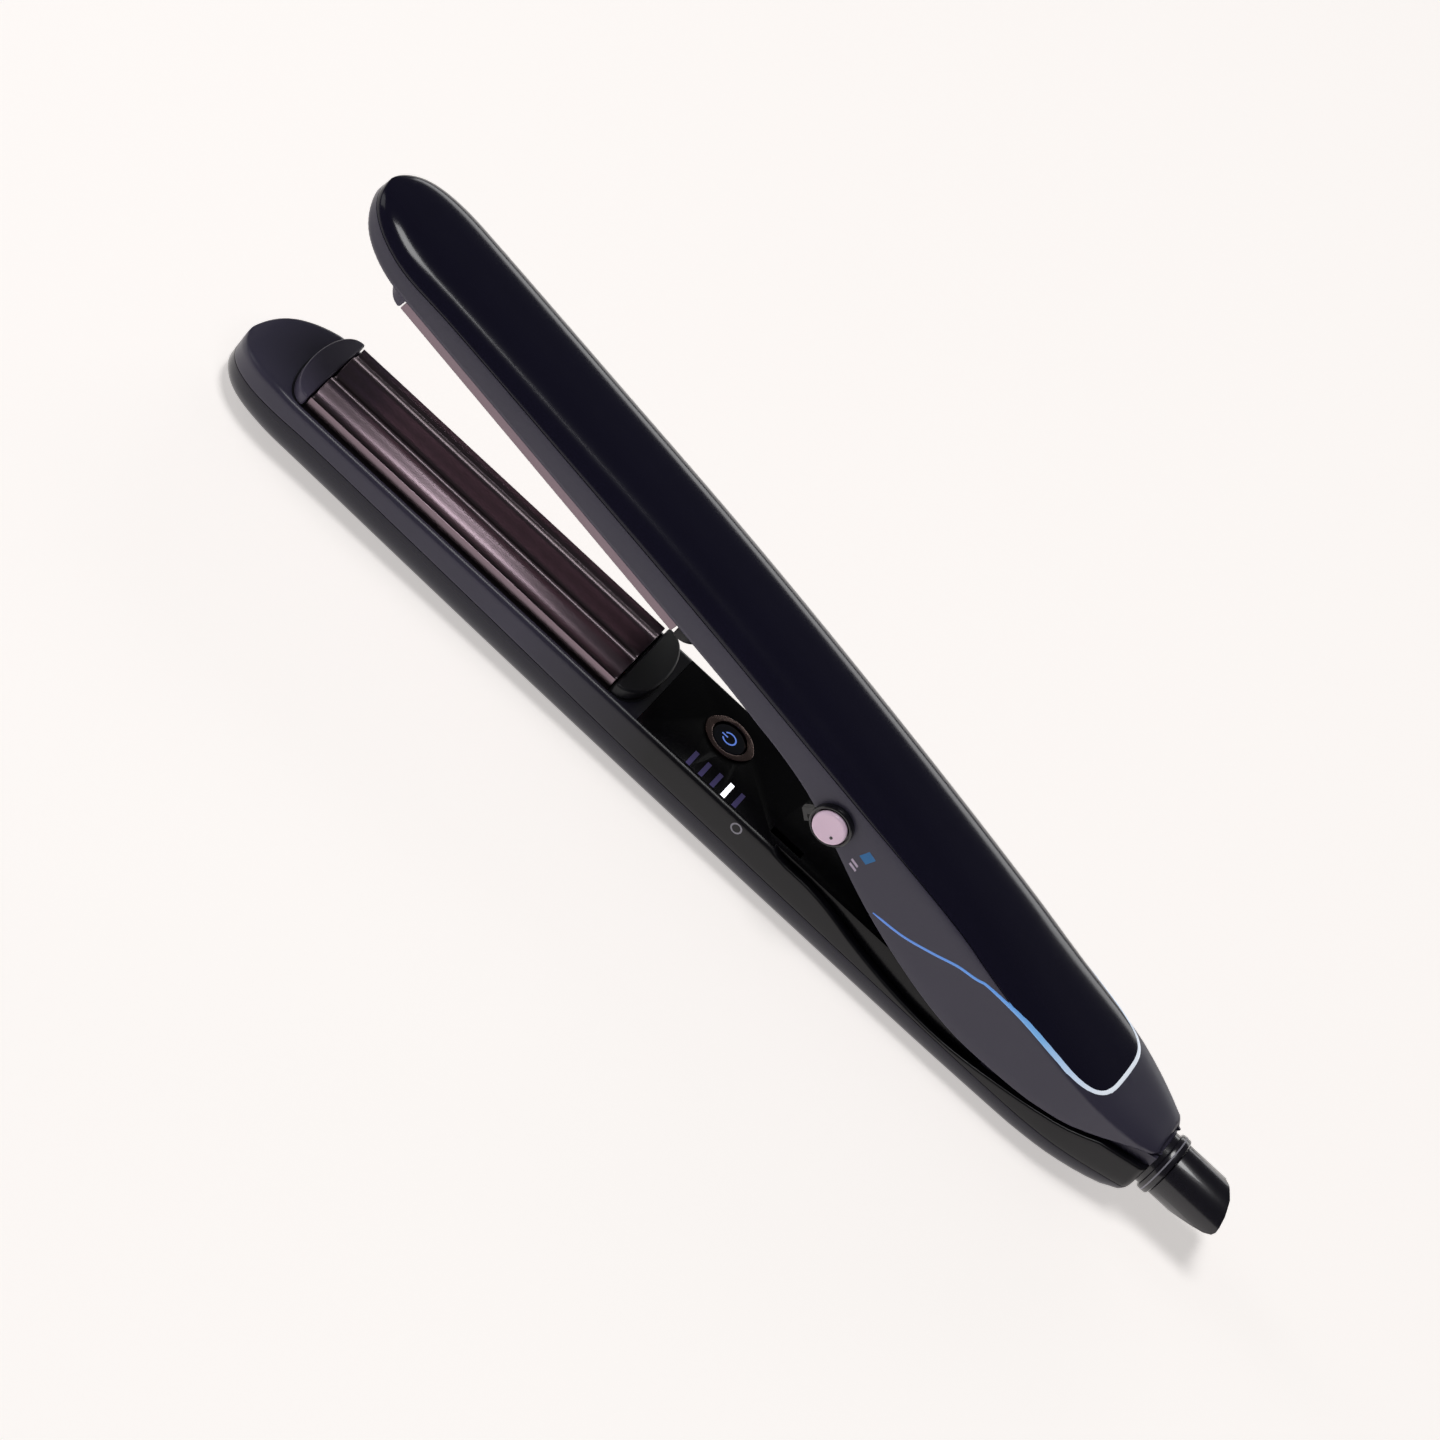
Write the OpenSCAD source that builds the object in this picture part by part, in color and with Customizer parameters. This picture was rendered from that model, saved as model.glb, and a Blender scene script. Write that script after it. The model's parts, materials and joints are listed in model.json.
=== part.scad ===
// Hinged wave iron: two arms on one pin, corrugated hot plates between them,
// a control panel, a lock knob, and a swivelling cord inlet at the tail.
//
// Design frame: X runs from the front of the plates (0) to the tail, Y across (the near side is
// negative), Z up, and Z = 0 is the plane where the closed arms meet. placed() moves it all to the
// part's own frame, and opened() swings the upper arm about the hinge pin.

/* [Opening] */
// Angle between the arms at rest, held open by the spring
open_angle = 9.4; // [2:0.2:10]
// Distance of the hinge pin behind the front of the plates
hinge_x = 224.5; // [222:0.5:227]

/* [Plates] */
// Length of each hot plate
plate_length = 94.6; // [90:0.2:95]
// Width of each hot plate
plate_width = 25.2; // [24:0.2:25.6]
// Height of a wave above and below its middle
wave_height = 1.2; // [0.6:0.1:1.4]
// Distance from one wave to the next across the plate
wave_pitch = 10.5; // [9:0.1:12]
// Gap between the two wave faces when the arms are closed
wave_gap = 0.4; // [0.3:0.05:0.6]

/* [Arms] */
// Half the width of both arms
arm_half = 15.4; // [15.2:0.1:15.8]
// Wall thickness of the housings and covers
wall = 1.5; // [1.4:0.1:1.7]
// Height of each housing's inner face from the closing plane
face_gap = 3.6; // [3.4:0.1:4]
// Width of the line between a housing and its cover
seam = 0.2; // [0.1:0.05:0.3]

/* [Swivel] */
// Diameter of the cord hole through the swivel
cord_hole_d = 6; // [5:0.2:6.4]
// Outer diameter of the swivel sleeve
sleeve_d = 14.4; // [13:0.2:15]
// Outer diameter of the fixed collar
collar_d = 16; // [15:0.2:17]

/* [Controls] */
// Radius of the lock knob's face
knob_r = 4.3; // [3.8:0.1:4.6]
// Travel of the power button
button_travel = 0.5; // [0.3:0.1:0.6]

/* [Hidden] */

$fn = 64;
eps = 0.01;          // overlap of cutters past the faces they open
plate_half = plate_width / 2;
tail_x = 258.5;      // rear face of the tail block
recess_half = 13.1;  // half width of the lower arm between the cheeks
cavity_top = 2.6;    // thickness of the housing's face wall above the cavity

// Lengthwise shape of the lower arm: [x, value]
lower_nose = -21.9;
lower_bottom = [[-22, -17.4], [-16, -19], [-8, -19.4], [10, -19.8], [45, -20.6], [80, -21.2],
    [130, -21.6], [195, -21.4], [218, -20.9], [235, -20.2], [247, -19], [254, -17.4], [258.5, -14.6]];
lower_face = [[-22, -8.4], [-17.5, -6], [-12, -4.6], [-6, -face_gap], [-5, -face_gap],
    [259, -face_gap], [260, -face_gap]];
lower_seam = [[-22, -12.6], [-14, -10.7], [-4, -9.3], [8, -8.9], [35, -9.5], [65, -10.3],
    [110, -11.7], [150, -12.3], [205, -12.6], [235, -12.2], [262, -11.4]];
rest_z = -21;      // flat the iron lies on

// Lengthwise shape of the upper arm
upper_nose = -23.3;
upper_top = [[-23, 11.5], [-17, 13.3], [-8, 14.1], [10, 14.9], [45, 16], [85, 17.1], [120, 16.9],
    [160, 15.5], [195, 13.1], [215, 10.7], [235, 8.8], [248, 7.8], [254, 7.3], [257.5, 6.7]];
upper_face = [[-23, 7.2], [-18, 5], [-12, 4], [-6, face_gap], [-5, face_gap], [121, face_gap],
    [122, face_gap], [130, 3.4],
    [140, 2.3], [148, 0.5], [157, -2.4], [165, -5], [174, -7.4], [186, -9.6], [198, -10.9],
    [208, -10.7], [219, -8.8], [230, -6], [239, -2.8], [246, 0.9], [252, 4.1], [257.5, 5.5]];
upper_seam = [[-23, 9.6], [-14, 9.2], [-4, 9], [10, 9.7], [50, 10.3], [90, 10.7], [150, 10.3],
    [175, 10.2], [190, 9.7], [200, 8.7], [210, 8.1], [222, 8.3], [245, 8.9]];
tail_half = [[228, 15.4], [238, 14.6], [246, 13], [252, 11.4], [258.5, 9.6]];
hood_half = [[228, 15.4], [238, 14.4], [246, 12.5], [252, 10.3], [255.5, 8.5], [257.5, 6.6]];

// Trim line up the cheek and round the tail: [x, height on the side, or degrees up the crown]
trim_path = [[173, -11.6], [181, -9.4], [188, -6], [194, -2.6], [200, -0.2], [206, 9], [214.5, 16],
    [224, 22], [231, 27], [235.2, 38], [237.8, 54], [239, 72], [239.3, 90]];

// Smooth curve through key points
function span(x, k, i = 0) = i >= len(k) - 2 || x < k[i + 1][0] ? i : span(x, k, i + 1);
function slope(k, i) = i <= 0 ? (k[1][1] - k[0][1]) / (k[1][0] - k[0][0])
    : i >= len(k) - 1 ? (k[i][1] - k[i - 1][1]) / (k[i][0] - k[i - 1][0])
    : (k[i + 1][1] - k[i - 1][1]) / (k[i + 1][0] - k[i - 1][0]);
function curve(x, k) = x <= k[0][0] ? k[0][1] : x >= k[len(k) - 1][0] ? k[len(k) - 1][1] :
    let (i = span(x, k), h = k[i + 1][0] - k[i][0], t = (x - k[i][0]) / h)
    k[i][1] * (1 + 2 * t) * (1 - t) * (1 - t) + slope(k, i) * h * t * (1 - t) * (1 - t)
    + k[i + 1][1] * t * t * (3 - 2 * t) - slope(k, i + 1) * h * t * t * (1 - t);

// Half width of an arm, rounded at the nose and tapered at the tail
nose_length = 23;
nose_power = 2.2;
function nose_half(x, tip) = let (t = (tip + nose_length - x) / nose_length)
    t <= 0 ? arm_half : arm_half * pow(max(0, 1 - pow(min(t, 1), nose_power)), 1 / nose_power);
function arm_width(x, tip) = min(nose_half(x, tip), x < 228 ? arm_half
    : curve(x, tip == lower_nose ? tail_half : hood_half) * arm_half / 15.4);

// One cross section of an arm, drawn hanging down: [y, z] points
edge_steps = 3;
crown_steps = 9;
function section(w, face, crown, bottom, edge_r, power, floor_z = -99) = let (
    r = min(edge_r, w * 0.45, (face - bottom) * 0.3),
    crown_z = min(crown, face - r - 0.2),
    half = concat(
        [for (i = [0:edge_steps]) let (a = 90 - 90 * i / edge_steps)
            [w - r + r * cos(a), face - r + r * sin(a)]],
        [for (i = [0:crown_steps]) let (a = 90 * i / crown_steps)
            [w * pow(cos(a), 2 / power),
                max(floor_z, crown_z + (bottom - crown_z) * pow(sin(a), 2 / power))]]))
    concat(half, [for (i = [len(half) - 2:-1:0]) [-half[i][0], half[i][1]]]);

// Solid through a row of sections: sections is a list of [x, points]
module loft(sections) {
    n = len(sections[0][1]);
    m = len(sections);
    polyhedron(
        points = [for (s = sections) for (p = s[1]) [s[0], p[0], p[1]]],
        faces = concat(
            [[for (i = [n - 1:-1:0]) i]],
            [[for (i = [0:n - 1]) (m - 1) * n + i]],
            [for (j = [0:m - 2]) for (i = [0:n - 1]) let (k = (i + 1) % n)
                [j * n + k, (j + 1) * n + i, j * n + i]],
            [for (j = [0:m - 2]) for (i = [0:n - 1]) let (k = (i + 1) % n)
                [(j + 1) * n + k, (j + 1) * n + i, j * n + k]]));
}

// Stations along an arm: close together round the nose and tail
function stations(tip) = concat(
    [for (a = [10:10:80]) tip + nose_length * (1 - cos(a))],
    [for (x = [12:22:122]) x],
    [for (x = [131, 140, 149, 158, 167, 178, 190, 202, 213, 222, 231, 239, 246, 252]) x]);

lower_power = 3.6;   // squareness of the lower crown
upper_power = 3;     // squareness of the upper crown
upper_crown = [[-23, 8.6], [-12, 6.8], [0, 6], [235, 6], [257.5, 5.2]];

function edge_radius(x) = x < 118 ? 1.6 : 0.7;
function lower_section(x) = let (face = curve(x, lower_face)) section(arm_width(x, lower_nose), face,
    face - 3, curve(x, lower_bottom), 1.6, lower_power, rest_z);
function upper_section(x) = section(arm_width(x, upper_nose), -curve(x, upper_face),
    -curve(x, upper_crown), -curve(x, upper_top), edge_radius(x), upper_power);

// Prism across the arm: an outline in X and Z, drawn from y0 to y1
module across(y0, y1, outline) {
    translate([0, y1, 0]) rotate([90, 0, 0]) linear_extrude(height = y1 - y0) polygon(outline);
}
module box(from, to) {
    translate(from) cube(to - from);
}
module pin_along_y(x, z, r, y0, y1) {
    translate([x, y1, z]) rotate([90, 0, 0]) cylinder(r = r, h = y1 - y0);
}
module pin_along_x(x0, x1, r, z) {
    translate([x0, 0, z]) rotate([0, 90, 0]) cylinder(r = r, h = x1 - x0);
}
module both_sides() {
    children();
    mirror([0, 1, 0]) children();
}
// Upper parts are drawn hanging down, then turned over
module turned_over() mirror([0, 0, 1]) children();

// Rest placing: the tilt of the open upper arm, and the part's own origin
low_x = lower_nose + 0.35;
high_x = 280;
module placed() translate([-(low_x + high_x) / 2, 1.255, -rest_z]) children();
module opened() translate([hinge_x, 0, 0]) rotate([0, open_angle, 0])
    translate([-hinge_x, 0, 0]) children();

// ---- Lower arm shells ----
seam_x = [for (x = [-24:12:264]) x];
ledge = [[145, 4], [146.2, -2.6], [148.5, -4.6], [158, -4.9], [165, -5.9], [174, -8.2], [186, -10.4],
    [198, -11.6], [208, -11.4], [219, -9.8], [229, -7.9], [238, -6.1], [246, -3.7], [252, -1.4],
    [260, 0.6]];
shoulder_half = 13.15;
open_x = 143;        // the lower arm's face is open between its shoulders behind this

module lower_form() loft([for (x = concat(stations(lower_nose), [tail_x])) [x, lower_section(x)]]);
module lower_hollow() {
    loft([for (x = concat([-18.5, -15.5, -12, -7, 0], [for (i = [12:22:122]) i], [open_x + 0.5]))
        let (face = curve(x, lower_face) - cavity_top) [x, section(arm_width(x, lower_nose) - wall, face,
            face - 1.5, curve(x, lower_bottom) + wall, 1, lower_power, rest_z + wall)]]);
    loft([for (x = [open_x, 150, 167, 190, 213, 222, 231, 239, 246, 252, 260])
        let (low = curve(x, lower_bottom) + wall) [x, section(arm_width(x, lower_nose) - arm_half
            + shoulder_half, 6, max(-14, low + 2.2), low, 1, lower_power, rest_z + wall)]]);
}
module below_seam(shift = 0) across(-20, 20, concat([for (x = seam_x) [x, curve(x, lower_seam) - shift]],
    [[264, -40], [-24, -40]]));
module below_ledge() across(-20, 20, concat([[-24, 8], [145, 8]],
    [for (x = [145, 146.2, 148.5, 153, 158, 165, 174, 186, 198, 208, 219, 229, 238, 246, 252, 260])
        [x, curve(x, ledge)]], [[260, -40], [-24, -40]]));
module plate_opening() box([-0.8, -13.8, -20], [plate_length + 0.9, 13.8, 0]);

module lower_housing() color([0.26, 0.255, 0.31]) placed() difference() {
    intersection() {
        lower_form();
        below_ledge();
    }
    lower_hollow();
    below_seam();
    plate_opening();
    box([panel_front - 0.1, -14.3, -face_gap - 1.55], [panel_step + 0.1, 14.3, 1]);
    box([106, -12, -9], [open_x + 1, 12, 2]);
    for (x = bar_x) bar(x, 0.1, -9, 2);
}

module lower_cover() color([0.06, 0.055, 0.09]) placed() difference() {
    intersection() {
        lower_form();
        below_seam(seam);
    }
    lower_hollow();
}

// Glossy panel: a flat plate in front, and a narrower channel between the cheeks
panel_front = 104;
panel_step = 146.3;
panel_rear = 214;
button_x = 122.4;
button_y = 2.7;
bar_x = [119.2, 123, 126.6, 130, 133.4];
lit_bar = 130;
bar_y = -10.9;
bar_length = 5.4;
bar_width = 1.2;
module eye(r, lift, height) linear_extrude(height = height) intersection() {
    translate([0, lift]) circle(r = r);
    translate([0, -lift]) circle(r = r);
}
module bar(x, grow, z0, z1) box([x - bar_width / 2 - grow, bar_y - bar_length / 2 - grow, z0],
    [x + bar_width / 2 + grow, bar_y + bar_length / 2 + grow, z1]);
module control_panel() color([0.03, 0.03, 0.035]) placed() difference() {
    union() {
        box([panel_front, -14.2, -face_gap - 1.5], [panel_step, 14.2, -face_gap]);
        across(-recess_half, recess_half, concat([[panel_step - 1, -face_gap], [panel_rear, -face_gap]],
            [for (x = [panel_rear, 208, 198, 186, 174, 165, 158, 148.5]) [x, curve(x, ledge) - 1.6]],
            [[panel_step - 1, -6.8]]));
    }
    box([panel_step - 2, -11.5, -30], [panel_rear + 1, 11.5, -face_gap - 1.52]);
    translate([button_x, button_y, -face_gap - 2]) eye(6.9, 0.85, 3);
    for (x = bar_x) bar(x, 0.05, -face_gap - 3, 0);
    box([knob_x - 7.7, -11.2, -8], [knob_x + 1.6, -8.9, 0]);
}

// ---- Caps at the ends of the plates ----
cap_top = -0.25;
cap_half = 13.7;
function cap_arc(depth, half, sgn, x0) = [for (a = [-90:10:90])
    [x0 + sgn * depth * pow(cos(a), 0.8), half * sin(a)]];
module end_cap(x0, sgn, depth) difference() {
    union() {
        translate([0, 0, -9]) linear_extrude(height = 9 + cap_top - 1.2)
            polygon(cap_arc(depth, cap_half, sgn, x0));
        translate([0, 0, cap_top - 1.2 - eps]) linear_extrude(height = 0.6 + eps)
            polygon(cap_arc(depth - 0.4, cap_half - 0.4, sgn, x0));
        translate([0, 0, cap_top - 0.6 - eps]) linear_extrude(height = 0.6 + eps)
            polygon(cap_arc(depth - 1, cap_half - 1, sgn, x0));
    }
    box([min(x0, x0 + sgn * (depth - 1.6)), -cap_half + 1.5, -10],
        [max(x0, x0 + sgn * (depth - 1.6)), cap_half - 1.5, -4.2]);
}
front_cap_x = -0.1;
rear_cap_x = plate_length + 0.4;
module front_cap() intersection() {
    end_cap(front_cap_x, -1, 6.2);
    box([-8, -14, -face_gap], [0, 14, 1]);
}
module rear_cap() intersection() {
    end_cap(rear_cap_x, 1, 7.6);
    box([90, -14, -face_gap], [110, 14, 1]);
}
module lower_front_cap() color([0.29, 0.285, 0.345]) placed() front_cap();
module lower_rear_cap() color([0.11, 0.115, 0.13]) placed() rear_cap();

// ---- Hot plates, with wave faces that fit into each other ----
wave_middle = -wave_gap / 2;
plate_underside = -3.2;
plate_skirt = -5.6;
function wave(y, sgn) = wave_middle - sgn * wave_height * cos(360 * y / wave_pitch);
module hot_plate(sgn) translate([0.3, 0, 0]) rotate([90, 0, 90]) linear_extrude(height = plate_length - 0.5)
    polygon(concat(
        [for (i = [0:48]) let (y = -plate_half + plate_width * i / 48) [y, wave(y, sgn)]],
        [[plate_half, plate_skirt], [plate_half - 1.3, plate_skirt], [plate_half - 1.3, plate_underside],
            [1.3 - plate_half, plate_underside], [1.3 - plate_half, plate_skirt],
            [-plate_half, plate_skirt]]));
module lower_plate() color([0.45, 0.4, 0.43]) placed() hot_plate(1);

heater_z = [plate_underside - 1.8, plate_underside];
clip_z = [heater_z[0] - 1.2, heater_z[0]];
tray_floor = -8.4;
module heater() box([6, -4.5, heater_z[0]], [88, 4.5, heater_z[1]]);
module heat_clip() difference() {
    box([4, -10.5, clip_z[0]], [90, 10.5, clip_z[1]]);
    for (x = [20:18:74]) translate([x, 0, clip_z[0] - eps]) cylinder(r = 2.2, h = 2);
    box([45, 5.4, clip_z[0] - eps], [51, 8.8, clip_z[1] + eps]);
}
module sensor() box([45.4, 5.8, plate_underside - 2.6], [50.6, 8.4, plate_underside - 0.05]);
module cushions() for (x = [12, 76]) for (y = [-7.5, 7.5])
    box([x, y - 2, tray_floor], [x + 8, y + 2, clip_z[0]]);
module carrier() difference() {
    union() {
        box([-0.7, -13.7, tray_floor - 0.4], [plate_length + 0.8, 13.7, -5]);
        box([-0.7, -13.05, tray_floor - 1.4], [plate_length + 0.8, 13.05, -5.5]);
    }
    box([0.1, -12.95, tray_floor], [plate_length, 12.95, -4]);
    box([plate_length - 2, -4, tray_floor], [plate_length + 2, 4, tray_floor + 2.4]);
    for (x = [3.2, 92]) for (y = [-9.5, 9.5])
        translate([x, y, tray_floor - 3]) cylinder(r = 1.05, h = 5);
}
module tray_screws() for (x = [3.2, 92]) for (y = [-9.5, 9.5]) {
    translate([x, y, tray_floor - 3.6]) cylinder(r = 1, h = 3.6 + 0.01);
    translate([x, y, tray_floor]) cylinder(r = 1.8, h = 1.1);
}
module lower_heater() color([0.92, 0.92, 0.9]) placed() heater();
module lower_heat_clip() color([0.7, 0.71, 0.73]) placed() heat_clip();
module lower_thermistor() color([0.55, 0.25, 0.12]) placed() sensor();
module lower_cushions() color([0.75, 0.3, 0.22]) placed() cushions();
module lower_carrier() color([0.05, 0.05, 0.055]) placed() carrier();

// ---- Tail block: carries the hinge pin and the swivel ----
swivel_z = -6;
pin_r = 2;
barrel_r = 4.3;
knuckle_in = 5;
shaft_r = 4.3;
fit = 0.06;
block_top = [[panel_rear + 0.2, -face_gap], [219, -face_gap], [220.4, -1], [228.6, -1],
    [240, -0.9], [252, -1], [254, -0.6], [tail_x, -0.6]];
function block_half(x) = min(recess_half, arm_width(x, lower_nose) - 2.7);
block_x = [panel_rear + 0.2, 228, 233, 238, 242, 246, 249, 252, 255, tail_x];
module tail_block() color([0.27, 0.265, 0.32]) placed() difference() {
    union() {
        intersection() {
            across(-14, 14, concat(block_top, [[tail_x, -12.3], [254, -12.9], [251, -13.2],
                [panel_rear + 0.2, -13.2]]));
            translate([0, 0, -30]) linear_extrude(height = 60) polygon(concat(
                [for (x = block_x) [x, block_half(x)]],
                [for (i = [len(block_x) - 1:-1:0]) [block_x[i], -block_half(block_x[i])]]));
        }
        both_sides() {
            pin_along_y(hinge_x, 0, barrel_r, knuckle_in, recess_half);
            across(knuckle_in, recess_half, [[hinge_x - barrel_r, 0], [hinge_x + barrel_r, 0],
                [hinge_x + barrel_r, -6], [hinge_x - barrel_r, -6]]);
        }
    }
    pin_along_y(hinge_x, 0, pin_r, -20, 20);
    box([hinge_x - 4.6, -knuckle_in, -4.8], [hinge_x + 4.6, knuckle_in, 8]);
    box([panel_rear - 1, -4.4, -4.85], [hinge_x, 4.4, 0]);
    box([panel_rear - 1, -10.8, -20], [236, 10.8, -6.5]);
    pin_along_x(230, 250, 6.8, swivel_z);
    pin_along_x(249, 270, shaft_r + fit, swivel_z);
}

module hinge_pin() color([0.75, 0.76, 0.78]) placed()
    pin_along_y(hinge_x, 0, pin_r, -14.8, 14.8);
module thrust_washers() color([0.82, 0.8, 0.74]) placed() both_sides() difference() {
    pin_along_y(hinge_x, 0, 4.2, recess_half, recess_half + 0.3);
    pin_along_y(hinge_x, 0, pin_r + 0.02, recess_half - 1, recess_half + 1);
}

// Tube swept along points, with a ring at each
tube_sides = 8;
function unit(v) = v / norm(v);
function along(p, i) = unit(p[min(i + 1, len(p) - 1)] - p[max(i - 1, 0)]);
module tube(p, r) {
    up = [0.05, 0.3, 1];
    loft_points = [for (i = [0:len(p) - 1]) let (t = along(p, i), s = unit(cross(up, t)), w = cross(t, s))
        for (k = [0:tube_sides - 1]) let (a = 360 * k / tube_sides) p[i] + r * (s * cos(a) + w * sin(a))];
    m = len(p);
    n = tube_sides;
    polyhedron(points = loft_points, faces = concat(
        [[for (k = [0:n - 1]) k]], [[for (k = [n - 1:-1:0]) (m - 1) * n + k]],
        [for (j = [0:m - 2]) for (k = [0:n - 1]) let (q = (k + 1) % n)
            [(j + 1) * n + k, j * n + q, j * n + k]],
        [for (j = [0:m - 2]) for (k = [0:n - 1]) let (q = (k + 1) % n)
            [(j + 1) * n + k, (j + 1) * n + q, j * n + q]]));
}

// Torsion spring round the pin, one leg on each arm
coil_r = 3.2;
wire_r = 0.5;
turns = 5;
coil_half = 3.6;
function spring_path() = concat(
    [[hinge_x - 9, -coil_half, -3.9], [hinge_x - 5, -coil_half, -coil_r - 0.2]],
    [for (a = [0:30:360 * turns + 150]) [hinge_x - coil_r * sin(a),
        -coil_half + 2 * coil_half * a / (360 * turns + 150), -coil_r * cos(a)]],
    [[hinge_x - 6, coil_half, 3.9], [hinge_x - 12, coil_half, 5]]);
module hinge_spring() color([0.6, 0.61, 0.63]) placed() tube(spring_path(), wire_r);

// ---- Controls in the lower arm ----
board_z = -8.6;
module circuit_board() color([0.08, 0.3, 0.2]) placed() difference() {
    union() {
        box([108, -10.8, board_z - 1.6], [142, 10.8, board_z]);
        box([112, -7, board_z - 3.4], [119, -1, board_z - 1.6]);
        box([130, 0, board_z - 4.6], [138, 7, board_z - 1.6]);
    }
    for (y = [-8.6, 8.6]) translate([139.6, y, board_z - 5]) cylinder(r = 1.15, h = 10);
}
module tact_switch() color([0.2, 0.2, 0.22]) placed() {
    translate([button_x, button_y, 0]) {
        box([-3, -3, board_z], [3, 3, board_z + 1.6]);
        translate([0, 0, board_z + 1.6]) cylinder(r = 1.6, h = 0.5);
    }
}
module led_bars() color([0.32, 0.27, 0.42]) placed() for (x = bar_x) if (x != lit_bar) {
    bar(x, 0, board_z, -face_gap + 0.02);
}
module led_lit_bar() color([0.95, 0.95, 1]) placed() bar(lit_bar, 0, board_z, -face_gap + 0.02);
module power_bezel() color([0.4, 0.3, 0.27]) placed() translate([button_x, button_y, 0]) difference() {
    translate([0, 0, -face_gap - 1.5]) eye(6.85, 0.85, 1.9);
    translate([0, 0, -face_gap - 3]) cylinder(r = 4.75, h = 6);
}
module power_button() color([0.05, 0.06, 0.1]) placed() translate([button_x, button_y, 0]) {
    translate([0, 0, -face_gap - 1.4]) cylinder(r = 4.45, h = 1.5);
    translate([0, 0, board_z + 2.1 + button_travel + 0.05]) cylinder(r = 1.6,
        h = -face_gap - 1.3 - (board_z + 2.1 + button_travel + 0.05));
}
module keeper() color([0.7, 0.71, 0.73]) placed()
    box([knob_x + 1.6, -11.3, -face_gap - 2.72], [knob_x + 8.7, -8.8, -face_gap - 1.52]);

// ---- Swivelling cord inlet ----
cord_r = cord_hole_d / 2;
flange_x = 248.2;
sleeve_x = 262.9;
module swivel_collar() color([0.1, 0.095, 0.12]) placed() difference() {
    union() {
        pin_along_x(tail_x, 259.9, 7.2, swivel_z);
        pin_along_x(259.8, 262.6, collar_d / 2, swivel_z);
    }
    pin_along_x(250, 270, shaft_r + fit, swivel_z);
}
sleeve_outline = [[sleeve_x - 1, 9], [273.4, 9], [274, 7], [275.4, 6.4], [277.4, 4.1], [279, 0.6],
    [279.8, -2.2], [high_x, -3.6], [279.6, -4.6], [278, -5.5], [275, -6.2], [271.5, -6.8], [268.5, -7.3],
    [sleeve_x - 1, -9]];
module swivel_sleeve() color([0.09, 0.085, 0.11]) placed() difference() {
    union() {
        pin_along_x(238.6, sleeve_x + 1, shaft_r, swivel_z);
        pin_along_x(flange_x, 249.7, 6.3, swivel_z);
        intersection() {
            pin_along_x(sleeve_x, 290, sleeve_d / 2, swivel_z);
            translate([0, 0, swivel_z]) rotate([-40, 0, 0]) across(-10, 10, sleeve_outline);
        }
    }
    pin_along_x(230, 290, cord_r, swivel_z);
    for (x = [240.4, 244.4]) difference() {
        pin_along_x(x, x + 1.8, shaft_r + 1, swivel_z);
        pin_along_x(x - 1, x + 3, shaft_r - 0.6, swivel_z);
    }
}
module contact_rings() color([0.8, 0.62, 0.3]) placed() for (x = [240.4, 244.4]) difference() {
    pin_along_x(x, x + 1.8, shaft_r + 0.15, swivel_z);
    pin_along_x(x - 1, x + 3, shaft_r - 0.6, swivel_z);
}
module brush_holder() color([0.12, 0.12, 0.13]) placed() difference() {
    pin_along_x(237, 238.2, 6.78, swivel_z);
    pin_along_x(230, 250, 5.4, swivel_z);
}
module contact_brushes() color([0.8, 0.62, 0.3]) placed() for (x = [240.7, 244.7])
    box([x, -1, swivel_z - 6.75], [x + 1.2, 1, swivel_z - shaft_r - 0.2]);

module lower_screws() color([0.6, 0.61, 0.63]) placed() {
    tray_screws();
    for (y = [-8.6, 8.6]) {
        translate([139.6, y, board_z - 3.4]) cylinder(r = 1.1, h = 3.4 + eps);
        translate([139.6, y, board_z]) cylinder(r = 1.9, h = 1.1);
    }
}
module lower_wires() color([0.6, 0.12, 0.1]) placed() {
    tube([[236.9, 1.3, -11.7], [232, 1.6, -11.7], [222, 3, -11.6], [200, 3, -12], [170, 2, -13.1],
        [150, 0, -13.8], [134, -2.5, -13.8], [128, -3, -13.2], [124, -4, -12.2]], 0.8);
    tube([[236.9, -1.3, -11.7], [232, -1.6, -11.7], [222, -3, -11.8], [200, -3, -12.2],
        [170, -3, -13.3], [150, -5, -13.9], [110, -6, -13.7], [98.5, -2, -9], [96.6, -2, -7.5],
        [93, -2, -7.1]], 0.8);
}

// ---- Upper arm shells (drawn closed) ----
module upper_form() turned_over() loft([for (x = concat(stations(upper_nose), [257.5]))
    [x, upper_section(x)]]);
roof_z = 3.9;        // underside of the upper arm between its cheeks
module upper_room(xs, low, high, inset) turned_over() loft([for (x = xs)
    let (top = is_undef(high) ? curve(x, upper_top) - wall : high)
    [x, section(arm_width(x, upper_nose) - inset, -low, -max(low + 0.9, min(6, top - 1.2)), -top, 0.4,
        upper_power)]]);
module upper_hollows() {
    upper_room([-20, -17.5, -14, -9, 0, 12, 34, 56, 78, 100, 122, 140, 158, 182, 208],
        face_gap + cavity_top, undef, wall);
    box([126, -arm_half + 1.6, -20], [208.5, arm_half - 1.6, roof_z]);
    difference() {
        upper_room([207, 214, 222, 231, 239, 246, 252, 260], -20, undef, wall + 0.05);
        both_sides() pin_along_y(hinge_x, 0, 5, recess_half + 0.35, 20);
    }
}
cover_end = 239.4;
function cover_outline(grow) = concat([[-40, -30], [-40, 30]],
    [for (a = [90:-10:-90]) [226 + grow + (cover_end - 226) * pow(cos(a), 0.75), (15.9 + grow) * sin(a)]]);
module cover_region(shift) intersection() {
    across(-30, 30, concat([for (x = [-24:12:252]) [x, curve(x, upper_seam) + shift]],
        [[252, 40], [-24, 40]]));
    translate([0, 0, -30]) linear_extrude(height = 80) polygon(cover_outline(-shift));
}

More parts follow.
